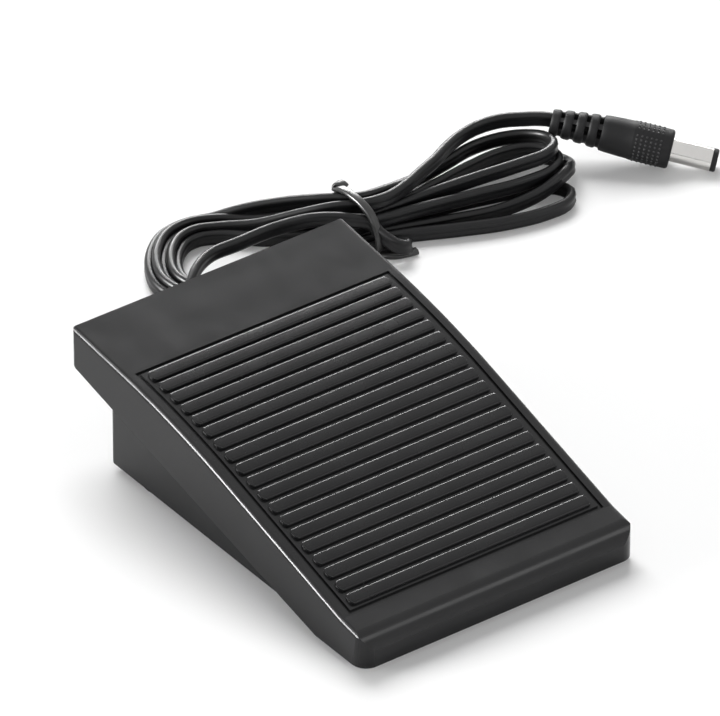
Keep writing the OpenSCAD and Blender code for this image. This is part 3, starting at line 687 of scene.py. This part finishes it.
@dataclass
class TreadRibs:
    """The rounded skins of the cover's ribs, one for each rib, laid down the tread's own curve.

    Attributes:
        count: how many ribs there are.
        pitch: distance from one rib to the next.
        first: distance of the first rib from the cover's rear edge.
        long: length of a rib.
        wide: width of a rib.
        high: height of a rib over the tread.
        edge_r: rounding of its upper edge.
        corner_r: rounding of its corners, seen from above.
        skin: how far the skin stands over the moulded rib inside it.
        sunk: how far the skin goes down into the tread.
        round_n: points on each rounding.
        rear_y: place of the cover's rear edge.
        rear_z: height of the cover's rear edge.
        rear_zone: length of the flat rear zone.
        rear_slope: its slope, in degrees.
        tread_slope: the slope of the lower part of the tread, in degrees.
        bend_r: radius of the bend between the two.
    """

    count: int = 19
    pitch: float = 4.1
    first: float = 23.6
    long: float = 65.2
    wide: float = 3.2
    high: float = 0.7
    edge_r: float = 0.45
    corner_r: float = 1.2
    skin: float = 0.04
    sunk: float = 0.3
    round_n: int = 7
    rear_y: float = 54.35
    rear_z: float = 32.2
    rear_zone: float = 18.0
    rear_slope: float = 6.2
    tread_slope: float = 15.5
    bend_r: float = 245.0

    def outline(self, inset: float, height: float) -> np.ndarray:
        """One level of a rib: a rectangle with round corners.

        Args:
            inset: how far the outline lies inside the rib's widest one.
            height: how high it lies over the tread.

        Returns:
            The corners of the outline.
        """
        r = self.corner_r + self.skin - inset
        half_l, half_w = self.long / 2 - self.corner_r, self.wide / 2 - self.corner_r
        corners = []
        for quarter, (sx, sy) in enumerate([(1, 1), (-1, 1), (-1, -1), (1, -1)]):
            for turn in np.linspace(0, math.pi / 2, self.round_n) + quarter * math.pi / 2:
                corners.append((sx * half_l + r * math.cos(turn), sy * half_w + r * math.sin(turn), height))
        return np.array(corners)

    def one_rib(self) -> bpy.types.Object:
        """Makes a single rib that lies along x at the origin.

        Returns:
            The rib.
        """
        top = self.high + self.skin
        r = self.edge_r + self.skin
        rings = [self.outline(0, -self.sunk), self.outline(0, top - r)]
        for turn in np.linspace(0, math.pi / 2, self.round_n)[1:]:
            rings.append(self.outline(r * (1 - math.cos(turn)), top - r * (1 - math.sin(turn))))
        points, faces = loft(rings)
        return new_mesh("tread_ribs", points, faces, Shading.SMOOTH)

    def tree(self, material: bpy.types.Material) -> NodeBench:
        """Draws the rule that sets a rib's place and slope from its number.

        Args:
            material: what the ribs wear.

        Returns:
            The finished tree.
        """
        bench = NodeBench("rib_rule")
        names = ("Pitch", "First", "Rear Y", "Rear Z", "Zone", "Rear Slope", "Tread Slope", "Bend Radius")
        count = bench.number("Count", whole=True)
        pitch, first, rear_y, rear_z, zone, low, high, radius = [bench.number(n) for n in names]
        index = bench.tree.nodes.new("GeometryNodeInputIndex").outputs[0]
        along = bench.math("ADD", bench.math("MULTIPLY", index, pitch), first)
        past = bench.math("MAXIMUM", bench.math("SUBTRACT", along, zone), 0.0)
        sine_low, sine_high = bench.math("SINE", low), bench.math("SINE", high)
        bent = bench.math("ADD", bench.math("DIVIDE", past, radius), sine_low)
        sine = bench.math("MINIMUM", bent, sine_high)
        slope = bench.math("ARCSINE", sine)
        fall_rear = bench.math("MULTIPLY", zone, bench.math("TANGENT", low))
        fall_bend = bench.math(
            "MULTIPLY", radius, bench.math("SUBTRACT", bench.math("COSINE", low), bench.math("COSINE", slope))
        )
        bend_l = bench.math("MULTIPLY", radius, bench.math("SUBTRACT", sine_high, sine_low))
        straight = bench.math("MAXIMUM", bench.math("SUBTRACT", past, bend_l), 0.0)
        fall_tread = bench.math("MULTIPLY", straight, bench.math("TANGENT", high))
        fall = bench.math("ADD", bench.math("ADD", fall_rear, fall_bend), fall_tread)
        place = bench.node(
            "ShaderNodeCombineXYZ",
            {"Y": bench.math("SUBTRACT", rear_y, along), "Z": bench.math("SUBTRACT", rear_z, fall)},
        )
        turn = bench.node("ShaderNodeCombineXYZ", {"X": slope})
        row = bench.node("GeometryNodeMeshLine", {"Count": count})
        spread = bench.spread(row.outputs[0], place.outputs[0])
        bench.finish(bench.copies(spread, turn.outputs[0]), material)
        return bench

    def make(self, wardrobe: Wardrobe) -> bpy.types.Object:
        """Builds the ribs.

        Args:
            wardrobe: where their finish comes from.

        Returns:
            The ribs as one mesh, riding on the pedal.
        """
        bench = self.tree(wardrobe.get(RIBS_PAINTED_SHADE))
        values = {
            "Count": self.count,
            "Pitch": self.pitch * MM,
            "First": self.first * MM,
            "Rear Y": self.rear_y * MM,
            "Rear Z": self.rear_z * MM,
            "Zone": self.rear_zone * MM,
            "Rear Slope": math.radians(self.rear_slope),
            "Tread Slope": math.radians(self.tread_slope),
            "Bend Radius": self.bend_r * MM,
        }
        ribs = bench.bake(self.one_rib(), values)
        shade(ribs, Shading.SMOOTH)
        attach(ribs, "pedal")
        return ribs


# ---------------------------------------------------------------- plug


@dataclass
class Plug:
    """The barrel plug's moulding: sleeve, grip dots and the slotted relief behind it.

    Attributes:
        at: the middle of the sleeve's front face.
        yaw: the axis's turn about the vertical, in degrees.
        dip: how far the axis points down, in degrees.
        sleeve_l: length of the sleeve.
        sleeve_r: radius of its thick front part.
        rear_step: the sleeve's rear end: places in front of it, and radii.
        taper: places in front of the rear end, and how far the surface lies inside sleeve_r.
        band: place of the step where the thick front part begins.
        band_step: places beside that step, and how far the surface lies inside sleeve_r.
        rim: place where the straight part ends.
        rim_r: rounding of the front rim.
        rim_n: points on it.
        mouth: the hollow in the front end: places and radii.
        relief_l: length of the relief.
        relief_r0: its radius at the sleeve.
        relief_r1: its radius at the cord.
        relief_n: rings along it.
        lobes: how many lobes it has.
        lobe_drop: how far a lobe's ends lie below its middle.
        slot_w: width of the slots between the lobes.
        slot_edge: width of a slot's sloping edge.
        overlap: how far the relief goes into the sleeve.
        buried: what those last rings count as, in lengths of a lobe.
        slot_turns: angles from a spine, in degrees.
        slot_depths: how deep a slot is at each of them.
        core_r: the least radius in a slot.
        spine_turn: the spines' turn about the axis, in degrees.
        droop: how far the relief's end hangs down.
        end_l: length of the relief's last taper, at the cord.
        end_r: radius at its end.
        round_n: points round the axis.
        dome: heights and radii of a grip dot.
        dome_n: points round a grip dot.
        dot_rows: rows of dots round the sleeve.
        dot_columns: dots in a row.
        dot_step: distance from one dot to the next along the sleeve.
        dot_start: place of a row's first dot.
        dot_turn: the first row's turn from the spine, in degrees.
    """

    at: Point = (138.8, 66.0, 4.85)
    yaw: float = -44.3
    dip: float = 11.2
    sleeve_l: float = 16.5
    sleeve_r: float = 4.6
    rear_step: tuple = ((0.0, 1.2), (0.0, 3.9), (0.08, 4.05), (0.3, 4.15))
    taper: tuple = ((1.4, 0.34), (4.5, 0.17))
    band: float = -9.4
    band_step: tuple = ((-0.25, 0.11), (0.05, 0.02), (0.3, 0.0))
    rim: float = -4.0
    rim_r: float = 0.75
    rim_n: int = 8
    mouth: tuple = ((0.0, 3.1), (-0.25, 2.9), (-0.25, 2.2))
    relief_l: float = 12.0
    relief_r0: float = 4.05
    relief_r1: float = 3.1
    relief_n: int = 150
    lobes: int = 4
    lobe_drop: float = 0.22
    slot_w: float = 1.0
    slot_edge: float = 0.16
    overlap: float = 0.2
    buried: float = 1.05
    slot_turns: tuple = (0, 11, 14, 40, 47, 90)
    slot_depths: tuple = (0.05, 0.06, 1.8, 1.6, 0.26, 0.16)
    core_r: float = 1.3
    spine_turn: float = 217.0
    droop: float = 0.6
    end_l: float = 0.05
    end_r: float = 1.9
    round_n: int = 128
    dome: tuple = ((-0.12, 0.27), (0.03, 0.26), (0.1, 0.18), (0.13, 0.06))
    dome_n: int = 8
    dot_rows: int = 30
    dot_columns: int = 6
    dot_step: float = 1.12
    dot_start: float = -8.3
    dot_turn: float = -10.0

    def to_world(self, points: np.ndarray) -> np.ndarray:
        """Turns points from the plug's frame, z towards the tip, to the object's.

        Args:
            points: rows of x, y and z in the plug's frame.

        Returns:
            The same points in the object's frame.
        """
        yaw = Matrix.Rotation(math.radians(self.yaw), 3, "Z")
        dip = Matrix.Rotation(math.radians(90 + self.dip), 3, "Y")
        return points @ np.array(yaw @ dip).T + np.array(self.at)

    def hang(self, points: np.ndarray, z: float) -> np.ndarray:
        """Lets one ring of the relief hang down with the cord.

        Args:
            points: the ring's points in the object's frame.
            z: the ring's place along the plug's axis.

        Returns:
            The lowered points.
        """
        past = max(0.0, -self.sleeve_l - z) / self.relief_l
        return points - np.array((0.0, 0.0, self.droop * past**2))

    def sleeve_profile(self) -> list[tuple[float, float]]:
        """Draws the sleeve's side, from the relief to the rim.

        Returns:
            Places along the axis and the radius at each.
        """
        rear, r, rim_r = -self.sleeve_l, self.sleeve_r, self.rim_r
        rows = [(rear + z, radius) for z, radius in self.rear_step]
        rows += [(rear + z, r - inside) for z, inside in self.taper]
        rows += [(self.band + z, r - inside) for z, inside in self.band_step]
        rows.append((self.rim, r))
        for turn in np.linspace(0, math.pi / 2, self.rim_n):
            rows.append((-rim_r + rim_r * math.sin(turn), r - rim_r + rim_r * math.cos(turn)))
        return [*rows, *self.mouth]

    def relief_profile(self) -> list[tuple[float, float, float]]:
        """Draws the relief's side, from the cord to the sleeve.

        Returns:
            Places along the axis, with the outer radius and how deep a slot is at each.
        """
        period = self.relief_l / self.lobes
        lobe_l = period - self.slot_w
        start = -self.sleeve_l - self.relief_l
        rows = []
        for z in np.linspace(start, -self.sleeve_l + self.overlap, self.relief_n):
            share = min(1.0, (z - start) / self.relief_l)
            outer = self.relief_r1 + (self.relief_r0 - self.relief_r1) * share
            step = (z - start) % period
            inside = step / lobe_l if z < -self.sleeve_l else self.buried
            sinks = max(0.0, inside - 1) * lobe_l / self.slot_edge
            rises = max(0.0, (period - step) / self.slot_edge)
            bulge = 2 * min(inside, 1.0) - 1
            rows.append((z, outer - self.lobe_drop * abs(bulge) ** 4, min(1.0, sinks, rises)))
        return rows

    def ring(self, z: float, radius: float, slot: float = 0.0) -> np.ndarray:
        """One ring about the plug's axis, sunk in the slots between the two spines.

        Args:
            z: place along the axis.
            radius: radius outside the slots.
            slot: share of the slots' full depth.

        Returns:
            The ring's points in the plug's frame.
        """
        turn = np.linspace(0, 2 * math.pi, self.round_n, endpoint=False)
        away = np.abs((np.degrees(turn) - self.spine_turn + 90) % 180 - 90)
        depth = np.interp(away, self.slot_turns, self.slot_depths)
        r = np.maximum(radius - slot * depth, self.core_r)
        return round_points(r, turn, z)

    def body(self) -> bpy.types.Object:
        """Makes the sleeve and the relief.

        Returns:
            Both as one mesh.
        """
        sleeve = loft([self.to_world(self.ring(z, r)) for z, r in self.sleeve_profile()])
        relief_rings = [self.ring(-self.sleeve_l - self.relief_l - self.end_l, self.end_r)]
        relief_rings += [self.ring(z, r, slot) for z, r, slot in self.relief_profile()]
        relief = loft([self.hang(self.to_world(ring), ring[0, 2]) for ring in relief_rings])
        points = np.concatenate([sleeve[0], relief[0]])
        faces = sleeve[1] + [[i + len(sleeve[0]) for i in face] for face in relief[1]]
        return new_mesh("plug_moulding", points, faces, Shading.CREASED)

    def dots(self, material: bpy.types.Material) -> bpy.types.Object:
        """Makes the grip dots: a grid of small domes wrapped round the sleeve, with a seam on two sides.

        Args:
            material: what they wear.

        Returns:
            The dots as one mesh in the object's frame.
        """
        angles = np.linspace(0, 2 * math.pi, self.dome_n, endpoint=False)
        rings = [round_points(radius, angles, height) for height, radius in self.dome]
        dome = new_mesh("plug_grip_dots", *loft(rings), Shading.SMOOTH)
        bench = NodeBench("grip_rule")
        rows, columns = bench.number("Rows", whole=True), bench.number("Columns", whole=True)
        names = ("Radius", "Step", "Start", "First Turn")
        radius, step, start, first_turn = [bench.number(n) for n in names]
        index = bench.tree.nodes.new("GeometryNodeInputIndex").outputs[0]
        column = bench.math("MODULO", index, columns)
        row = bench.math("FLOOR", bench.math("DIVIDE", index, columns))
        place = bench.math("ADD", start, bench.math("MULTIPLY", column, step))
        row_turn = bench.math("DIVIDE", math.tau, rows)
        turn = bench.math("ADD", first_turn, bench.math("MULTIPLY", row, row_turn))
        point = bench.node(
            "ShaderNodeCombineXYZ",
            {
                "X": bench.math("MULTIPLY", radius, bench.math("COSINE", turn)),
                "Y": bench.math("MULTIPLY", radius, bench.math("SINE", turn)),
                "Z": place,
            },
        )
        lean = bench.node("ShaderNodeCombineXYZ", {"Y": math.pi / 2, "Z": turn})
        line = bench.node("GeometryNodeMeshLine", {"Count": bench.math("MULTIPLY", rows, columns)})
        spread = bench.spread(line.outputs[0], point.outputs[0])
        half_round = bench.math("MODULO", row, bench.math("DIVIDE", rows, 2.0))
        seam = bench.math("LESS_THAN", half_round, 0.5)
        kept = bench.node("GeometryNodeDeleteGeometry", {"Geometry": spread, "Selection": seam})
        bench.finish(bench.copies(kept.outputs[0], lean.outputs[0]), material)
        values = {
            "Rows": self.dot_rows,
            "Columns": self.dot_columns,
            "Radius": self.sleeve_r * MM,
            "Step": self.dot_step * MM,
            "Start": self.dot_start * MM,
            "First Turn": math.radians(self.spine_turn + self.dot_turn),
        }
        bench.bake(dome, values)
        local = np.array([vertex.co[:] for vertex in dome.data.vertices]) / MM
        for vertex, co in zip(dome.data.vertices, self.to_world(local) * MM):
            vertex.co = co
        mend_normals(dome.data)
        shade(dome, Shading.SMOOTH)
        return dome

    def make(self, wardrobe: Wardrobe) -> list[bpy.types.Object]:
        """Builds the moulding and its dots.

        Args:
            wardrobe: where the finish comes from.

        Returns:
            The two pieces, riding on the base.
        """
        body = self.body()
        wardrobe.dress(body, PLUG)
        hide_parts("plug_housing")
        pieces = [body, self.dots(wardrobe.get(PLUG_DOTS_PAINTED_HIGHLIGHT))]
        for piece in pieces:
            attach(piece, "base")
        return pieces


# ---------------------------------------------------------------- tie


@dataclass
class TieStrip:
    """The vinyl strip wound once round the hank's waist, with its cut end lying on the floor.

    Attributes:
        waist: the middle of the hank, seen from above.
        turn: the turn of the winding's own frame about the vertical, in degrees.
        wide: width of the strip.
        thick: its thickness.
        step: distance between two rings of its mesh.
        round_n: points on each round edge.
        loop: points of the winding: x and y in that frame, from the waist, and height.
        end: points of the end on the floor.
    """

    waist: tuple[float, float] = (64.0, 84.0)
    turn: float = 14.0
    wide: float = 2.3
    thick: float = 1.3
    step: float = 0.5
    round_n: int = 7
    loop: tuple[Point, ...] = (
        (0.5, 5.2, 11.5),
        (0.3, 6.1, 12.2),
        (-0.2, 7.1, 12.0),
        (-0.8, 7.0, 11.3),
        (-1.0, 5.4, 11.9),
        (-1.9, 2.0, 12.4),
        (-2.6, -1.6, 12.1),
        (-3.1, -5.0, 10.6),
        (-3.5, -7.2, 8.0),
        (-3.6, -8.2, 5.0),
        (-3.4, -8.0, 2.4),
        (-3.0, -6.6, 1.05),
        (-2.2, -2.0, 0.9),
        (-1.4, 3.0, 0.9),
        (-0.8, 5.9, 1.15),
        (-0.4, 7.2, 3.0),
        (-0.2, 7.4, 7.0),
        (0.2, 7.0, 10.0),
        (0.5, 5.8, 11.2),
    )
    end: tuple[Point, ...] = (
        (61.8, 78.2, 1.2),
        (62.6, 75.6, 0.95),
        (65.0, 73.0, 0.9),
        (67.8, 72.0, 0.9),
        (70.4, 71.5, 0.9),
    )

    def section(self) -> np.ndarray:
        """The strip's flat section with round edges."""
        return flat_section(self.wide, self.thick, math.pi / 2, self.round_n)

    def make(self, wardrobe: Wardrobe) -> bpy.types.Object:
        """Builds the strip.

        Args:
            wardrobe: where its finish comes from.

        Returns:
            The strip, riding on the base.
        """
        turn = math.radians(self.turn)
        ahead = np.array((math.cos(turn), math.sin(turn)))
        across = np.array((-math.sin(turn), math.cos(turn)))
        wound = [(*(np.array(self.waist) + x * ahead + y * across), z) for x, y, z in self.loop]
        line = smooth_line(np.array(wound), self.step)
        points, faces = sweep(line, self.section(), Vector((*ahead, 0.0)))
        flat_line = smooth_line(np.array(self.end), self.step)
        more, more_faces = sweep(flat_line, self.section()[:, ::-1], Vector((0, 0, 1)))
        faces = faces + [[i + len(points) for i in face] for face in more_faces]
        strip = new_mesh("tie_strip", np.concatenate([points, more]), faces, Shading.CREASED)
        wardrobe.dress(strip, TIE_WIRE)
        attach(strip, "base")
        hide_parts("cord_tie")
        return strip


# ---------------------------------------------------------------- springs


class Side(Enum):
    """A side of the pedal, seen from its low front end."""

    LEFT = "left"
    RIGHT = "right"


@dataclass
class ReturnCoil:
    """One return spring, made at the length that it has in the model.

    Attributes:
        side: the side that it is on.
        wire_r: radius of its wire.
        turns: how many turns it has.
        closed: rise of the closed turn at each end.
        steps: points on a turn of the wire's middle line.
        wire_n: points round the wire.
        clearance: how much further it would shorten than the cover comes down; not used.
    """

    side: Side
    wire_r: float = 0.45
    turns: int = 7
    closed: float = 1.0
    steps: int = 36
    wire_n: int = 10
    clearance: float = 0.12

    def line(self, low: float, high: float, radius: float) -> np.ndarray:
        """The wire's middle line, with a closed turn at each end.

        Args:
            low: height of the first point.
            high: height of the last point.
            radius: mean radius of the coil.

        Returns:
            The line's points round the spring's own middle.
        """
        turn = np.linspace(0, self.turns, self.turns * self.steps + 1)
        stops = [0, 1, self.turns - 1, self.turns]
        z = np.interp(turn, stops, [low, low + self.closed, high - self.closed, high])
        return round_points(radius, math.tau * turn, z)

    def make(self, hinge: dict, wardrobe: Wardrobe) -> bpy.types.Object:
        """Builds the spring between its two seats.

        Args:
            hinge: the pedal hinge's own row; not used.
            wardrobe: where its finish comes from.

        Returns:
            The spring, riding on the base.
        """
        node = f"return_spring_{self.side.value}"
        low, high = [np.array(corner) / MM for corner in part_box(node)]
        radius = (high[0] - low[0]) / 2 - self.wire_r
        middle = np.array([(low[0] + high[0]) / 2, (low[1] + high[1]) / 2, 0.0])
        line = self.line(low[2] + self.wire_r, high[2] - self.wire_r, radius) + middle
        turn = np.linspace(0, math.tau, self.wire_n, endpoint=False)
        section = self.wire_r * np.stack([np.cos(turn), np.sin(turn)], axis=1)
        points, faces = sweep(line, section, Vector((0, 0, 1)))
        coil = new_mesh(f"return_coil_{self.side.value}", points, faces, Shading.SMOOTH)
        wardrobe.dress(coil, STEEL)
        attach(coil, "base")
        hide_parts(node)
        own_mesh(coil)
        return coil


# ---------------------------------------------------------------- cord


# Points of the cord's middle line, from the grommet to the plug.
LEAD_ROUTE = (
    (0, 51.15, 8), (0.3, 55, 7.4), (2, 62, 4), (5, 69, 2.1),
    (9, 75.5, 2.5), (13.5, 81, 4.5), (17, 85, 6),
)
HANK_ROUTE = (
    (27.09, 90.81, 6.6), (33.7, 90.56, 6.8), (43.21, 89.57, 7.6), (52.38, 84.75, 9.4),
    (58.25, 81.19, 8.8), (62.74, 78.34, 7.4), (62.99, 75.82, 6.2), (63.88, 73.37, 5.2),
    (64.9, 71.5, 4.4), (66.5, 70.43, 3.8), (67.98, 71.53, 3.2), (67.42, 73.6, 2.6),
    (65.14, 75.34, 2.15), (61.93, 76.57, 2.05), (56.8, 77, 2.05), (48.29, 77.88, 2.05),
    (36.1, 78.35, 2.05), (25.81, 78.18, 2.05), (17.79, 80.8, 2.05), (13.48, 86.27, 2.05),
    (12.97, 92.73, 2.05), (15.57, 99.33, 2.05), (20.37, 105.22, 2.05), (26.34, 109.01, 2.05),
    (32.83, 109.61, 2.05), (38.96, 107.22, 2.6), (44.31, 103.67, 4.6), (52.07, 97.12, 7.2),
    (59.23, 90.19, 9), (64.41, 85.85, 9.6), (72.68, 86.16, 8.4), (82.42, 88.49, 6.4),
    (93.09, 90.82, 5.8), (101.71, 92.28, 5.8), (108.2, 91.04, 6.2), (113.4, 87.72, 6.8),
    (115.7, 83.31, 7.6), (114.69, 78.83, 8.4), (110.44, 76.29, 8.8), (103.39, 76.84, 8.6),
    (92.9, 78.98, 7.8), (81.59, 81.1, 6.8), (71.85, 82.45, 6), (63.83, 83.22, 5.75),
    (55.49, 82.62, 6.6), (45.88, 80.87, 4.6), (36.07, 80, 3.25), (26.03, 79.82, 3.25),
    (18.69, 82.18, 3.25), (15.01, 86.88, 3.25), (14.6, 92.47, 3.25), (16.99, 98.48, 3.25),
    (21.48, 103.99, 3.25), (26.89, 107.45, 3.25), (32.6, 107.98, 3.25), (38.36, 105.68, 3.25),
    (44.39, 101.7, 2.9), (53.01, 94.45, 4.4), (59.9, 88.6, 5.6), (64.37, 85.66, 5.75),
    (73.35, 84.58, 5.4), (84.78, 85.3, 5.2), (96.39, 86.81, 5.2), (105.66, 86.99, 5.2),
    (111.97, 84.97, 5.2), (115.22, 81.17, 5.2), (114.84, 76.74, 5.4), (110.74, 73.97, 5.6),
    (102.69, 73.72, 5.6), (90.89, 75.94, 5.6), (79.14, 78.36, 5.7), (70.27, 79.94, 5.75),
    (63.35, 81.07, 5.75), (54.3, 81.86, 4.6), (44.86, 80.9, 2.3), (36.04, 81.65, 2.05),
    (26.25, 81.46, 2.05), (19.6, 83.56, 2.05), (16.54, 87.5, 2.05), (16.23, 92.21, 2.05),
    (18.41, 97.64, 2.05), (22.58, 102.77, 2.05), (27.44, 105.9, 2.05), (32.37, 106.34, 2.05),
    (37.76, 104.14, 2.05), (44.84, 99.14, 2.05), (53.6, 92.47, 2.05), (59.82, 88.21, 2.05),
    (64.5, 86.24, 2.05), (73.42, 84.87, 2.05), (84.92, 85.89, 2.05), (96.57, 87.59, 2.05),
    (106.94, 88.14, 2.05), (114.03, 85.94, 2.05), (117.73, 81.43, 2.05), (117.66, 76.52, 3.2),
    (113.65, 72.3, 5.2), (105.03, 70.43, 3.8), (94.16, 72.24, 2.05), (82.58, 75.44, 2.05),
    (72.09, 78.91, 2.05), (63.5, 81.76, 2.05), (54.58, 83.13, 2.05), (45.6, 84.22, 2.05),
    (35.99, 84.95, 2.05), (26.69, 84.73, 2.05), (21.41, 86.32, 2.05), (19.6, 88.74, 2.05),
    (19.49, 91.69, 2.05), (21.25, 95.96, 2.05), (24.79, 100.31, 2.05), (28.54, 102.79, 2.05),
    (31.9, 103.08, 2.05), (36.56, 101.07, 2.05), (43.84, 94.65, 2.05), (52.77, 88.76, 2.05),
    (59.23, 85.58, 2.05), (64, 84, 2.05), (72.87, 82.43, 2.05), (83.83, 81.01, 2.05),
    (96.47, 77.98, 2.05), (105.51, 75.34, 2.05), (110.89, 71.89, 2.05), (111.67, 68.02, 2.05),
    (108.63, 65.42, 2.05), (102.81, 65.08, 2.05), (93.01, 67.07, 2.05), (81.83, 71.62, 2.05),
    (71.52, 76.38, 2.05), (63, 79.51, 2.05), (53.28, 81.89, 2.05), (45.3, 82.85, 2.6),
    (36.02, 83.3, 3.25), (26.47, 83.09, 3.25), (20.5, 84.94, 3.25), (18.07, 88.12, 3.25),
    (17.86, 91.95, 3.25), (19.83, 96.8, 3.25), (23.68, 101.54, 3.25), (27.99, 104.34, 3.25),
    (32.14, 104.71, 3.25), (37.16, 102.61, 3.25), (44.4, 97.19, 4.2), (51.34, 91.54, 7),
    (57.43, 86.7, 9.2), (63.78, 83.02, 9.7),
)
TAIL_ROUTE = (
    (69.73, 82.11, 9.7), (75.66, 83.44, 9.7), (82.43, 86.24, 9.6), (88, 88.5, 9.5),
    (93, 91, 9.5), (98, 92.9, 9.5), (104, 93.8, 9.6), (109.6, 92.6, 9.9),
    (113.8, 89.9, 10.2), (118.8, 85.6, 10.4), (120.4, 84, 9.95),
)


@dataclass
class TwinCord:
    """The flat twin cord: out of the grommet, round the hank and on to the plug.

    Attributes:
        wide: width of the cord.
        thick: its thickness.
        step: distance between two rings of its mesh.
        groove: how far each round edge goes on into the groove between the wires, in radians.
        round_n: points on each round edge.
        clearance: room left under the cord.
        route: points of its middle line.
    """

    wide: float = 3.7
    thick: float = 2.1
    step: float = 1.5
    groove: float = 0.55
    round_n: int = 9
    clearance: float = 0.05
    route: tuple[Point, ...] = LEAD_ROUTE + HANK_ROUTE + TAIL_ROUTE

    def section(self) -> np.ndarray:
        """The cord's figure-of-eight section."""
        return flat_section(self.wide, self.thick, math.pi / 2 + self.groove, self.round_n)

    def make(self, wardrobe: Wardrobe, fittings: list) -> bpy.types.Object:
        """Builds the cord.

        Args:
            wardrobe: where its finish comes from.
            fittings: the pieces that sit on it; not used.

        Returns:
            The cord, riding on the base.
        """
        line = smooth_line(np.array(self.route), self.step)
        line[:, 2] = np.maximum(line[:, 2], self.wide / 2 + self.clearance)
        points, faces = sweep(line, self.section(), Vector((0, 0, 1)))
        obj = new_mesh("cord", points, faces, Shading.SMOOTH)
        wardrobe.dress(obj, JACKET)
        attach(obj, "base")
        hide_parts("cord_lead", "cord_hank", "cord_tail")
        return obj


# ---------------------------------------------------------------- all together


def dress_nodes(frame: dict, wardrobe: Wardrobe) -> None:
    """Gives every CAD node the finish of its slot.

    Args:
        frame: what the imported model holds.
        wardrobe: where the finishes come from.
    """
    slots = {part["node"]: part["material_slot"] for part in frame["record"]["subparts"]}
    for name, obj in frame["nodes"].items():
        wardrobe.dress(obj, SLOT_FINISHES[slots[name]])


def main() -> None:
    """Builds the whole scene, piece by piece."""
    logging.basicConfig(level=logging.INFO, format="%(name)s: %(message)s")
    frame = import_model()
    scene = bpy.context.scene
    scene.view_settings.view_transform = "Standard"
    wardrobe = Wardrobe()
    studio = Studio()
    studio.camera()
    studio.lights()
    studio.floor()
    dress_nodes(frame, wardrobe)
    pieces = [TreadRibs().make(wardrobe)]
    hinge = next(joint for joint in frame["joints"] if joint["name"] == "pedal_hinge")
    pieces += [ReturnCoil(side).make(hinge, wardrobe) for side in Side]
    fittings = [*Plug().make(wardrobe), TieStrip().make(wardrobe)]
    pieces += [*fittings, TwinCord().make(wardrobe, fittings)]
    for piece in pieces:
        LOG.info("%s: %d faces", piece.name, len(piece.data.polygons))


if __name__ == "__main__":
    main()
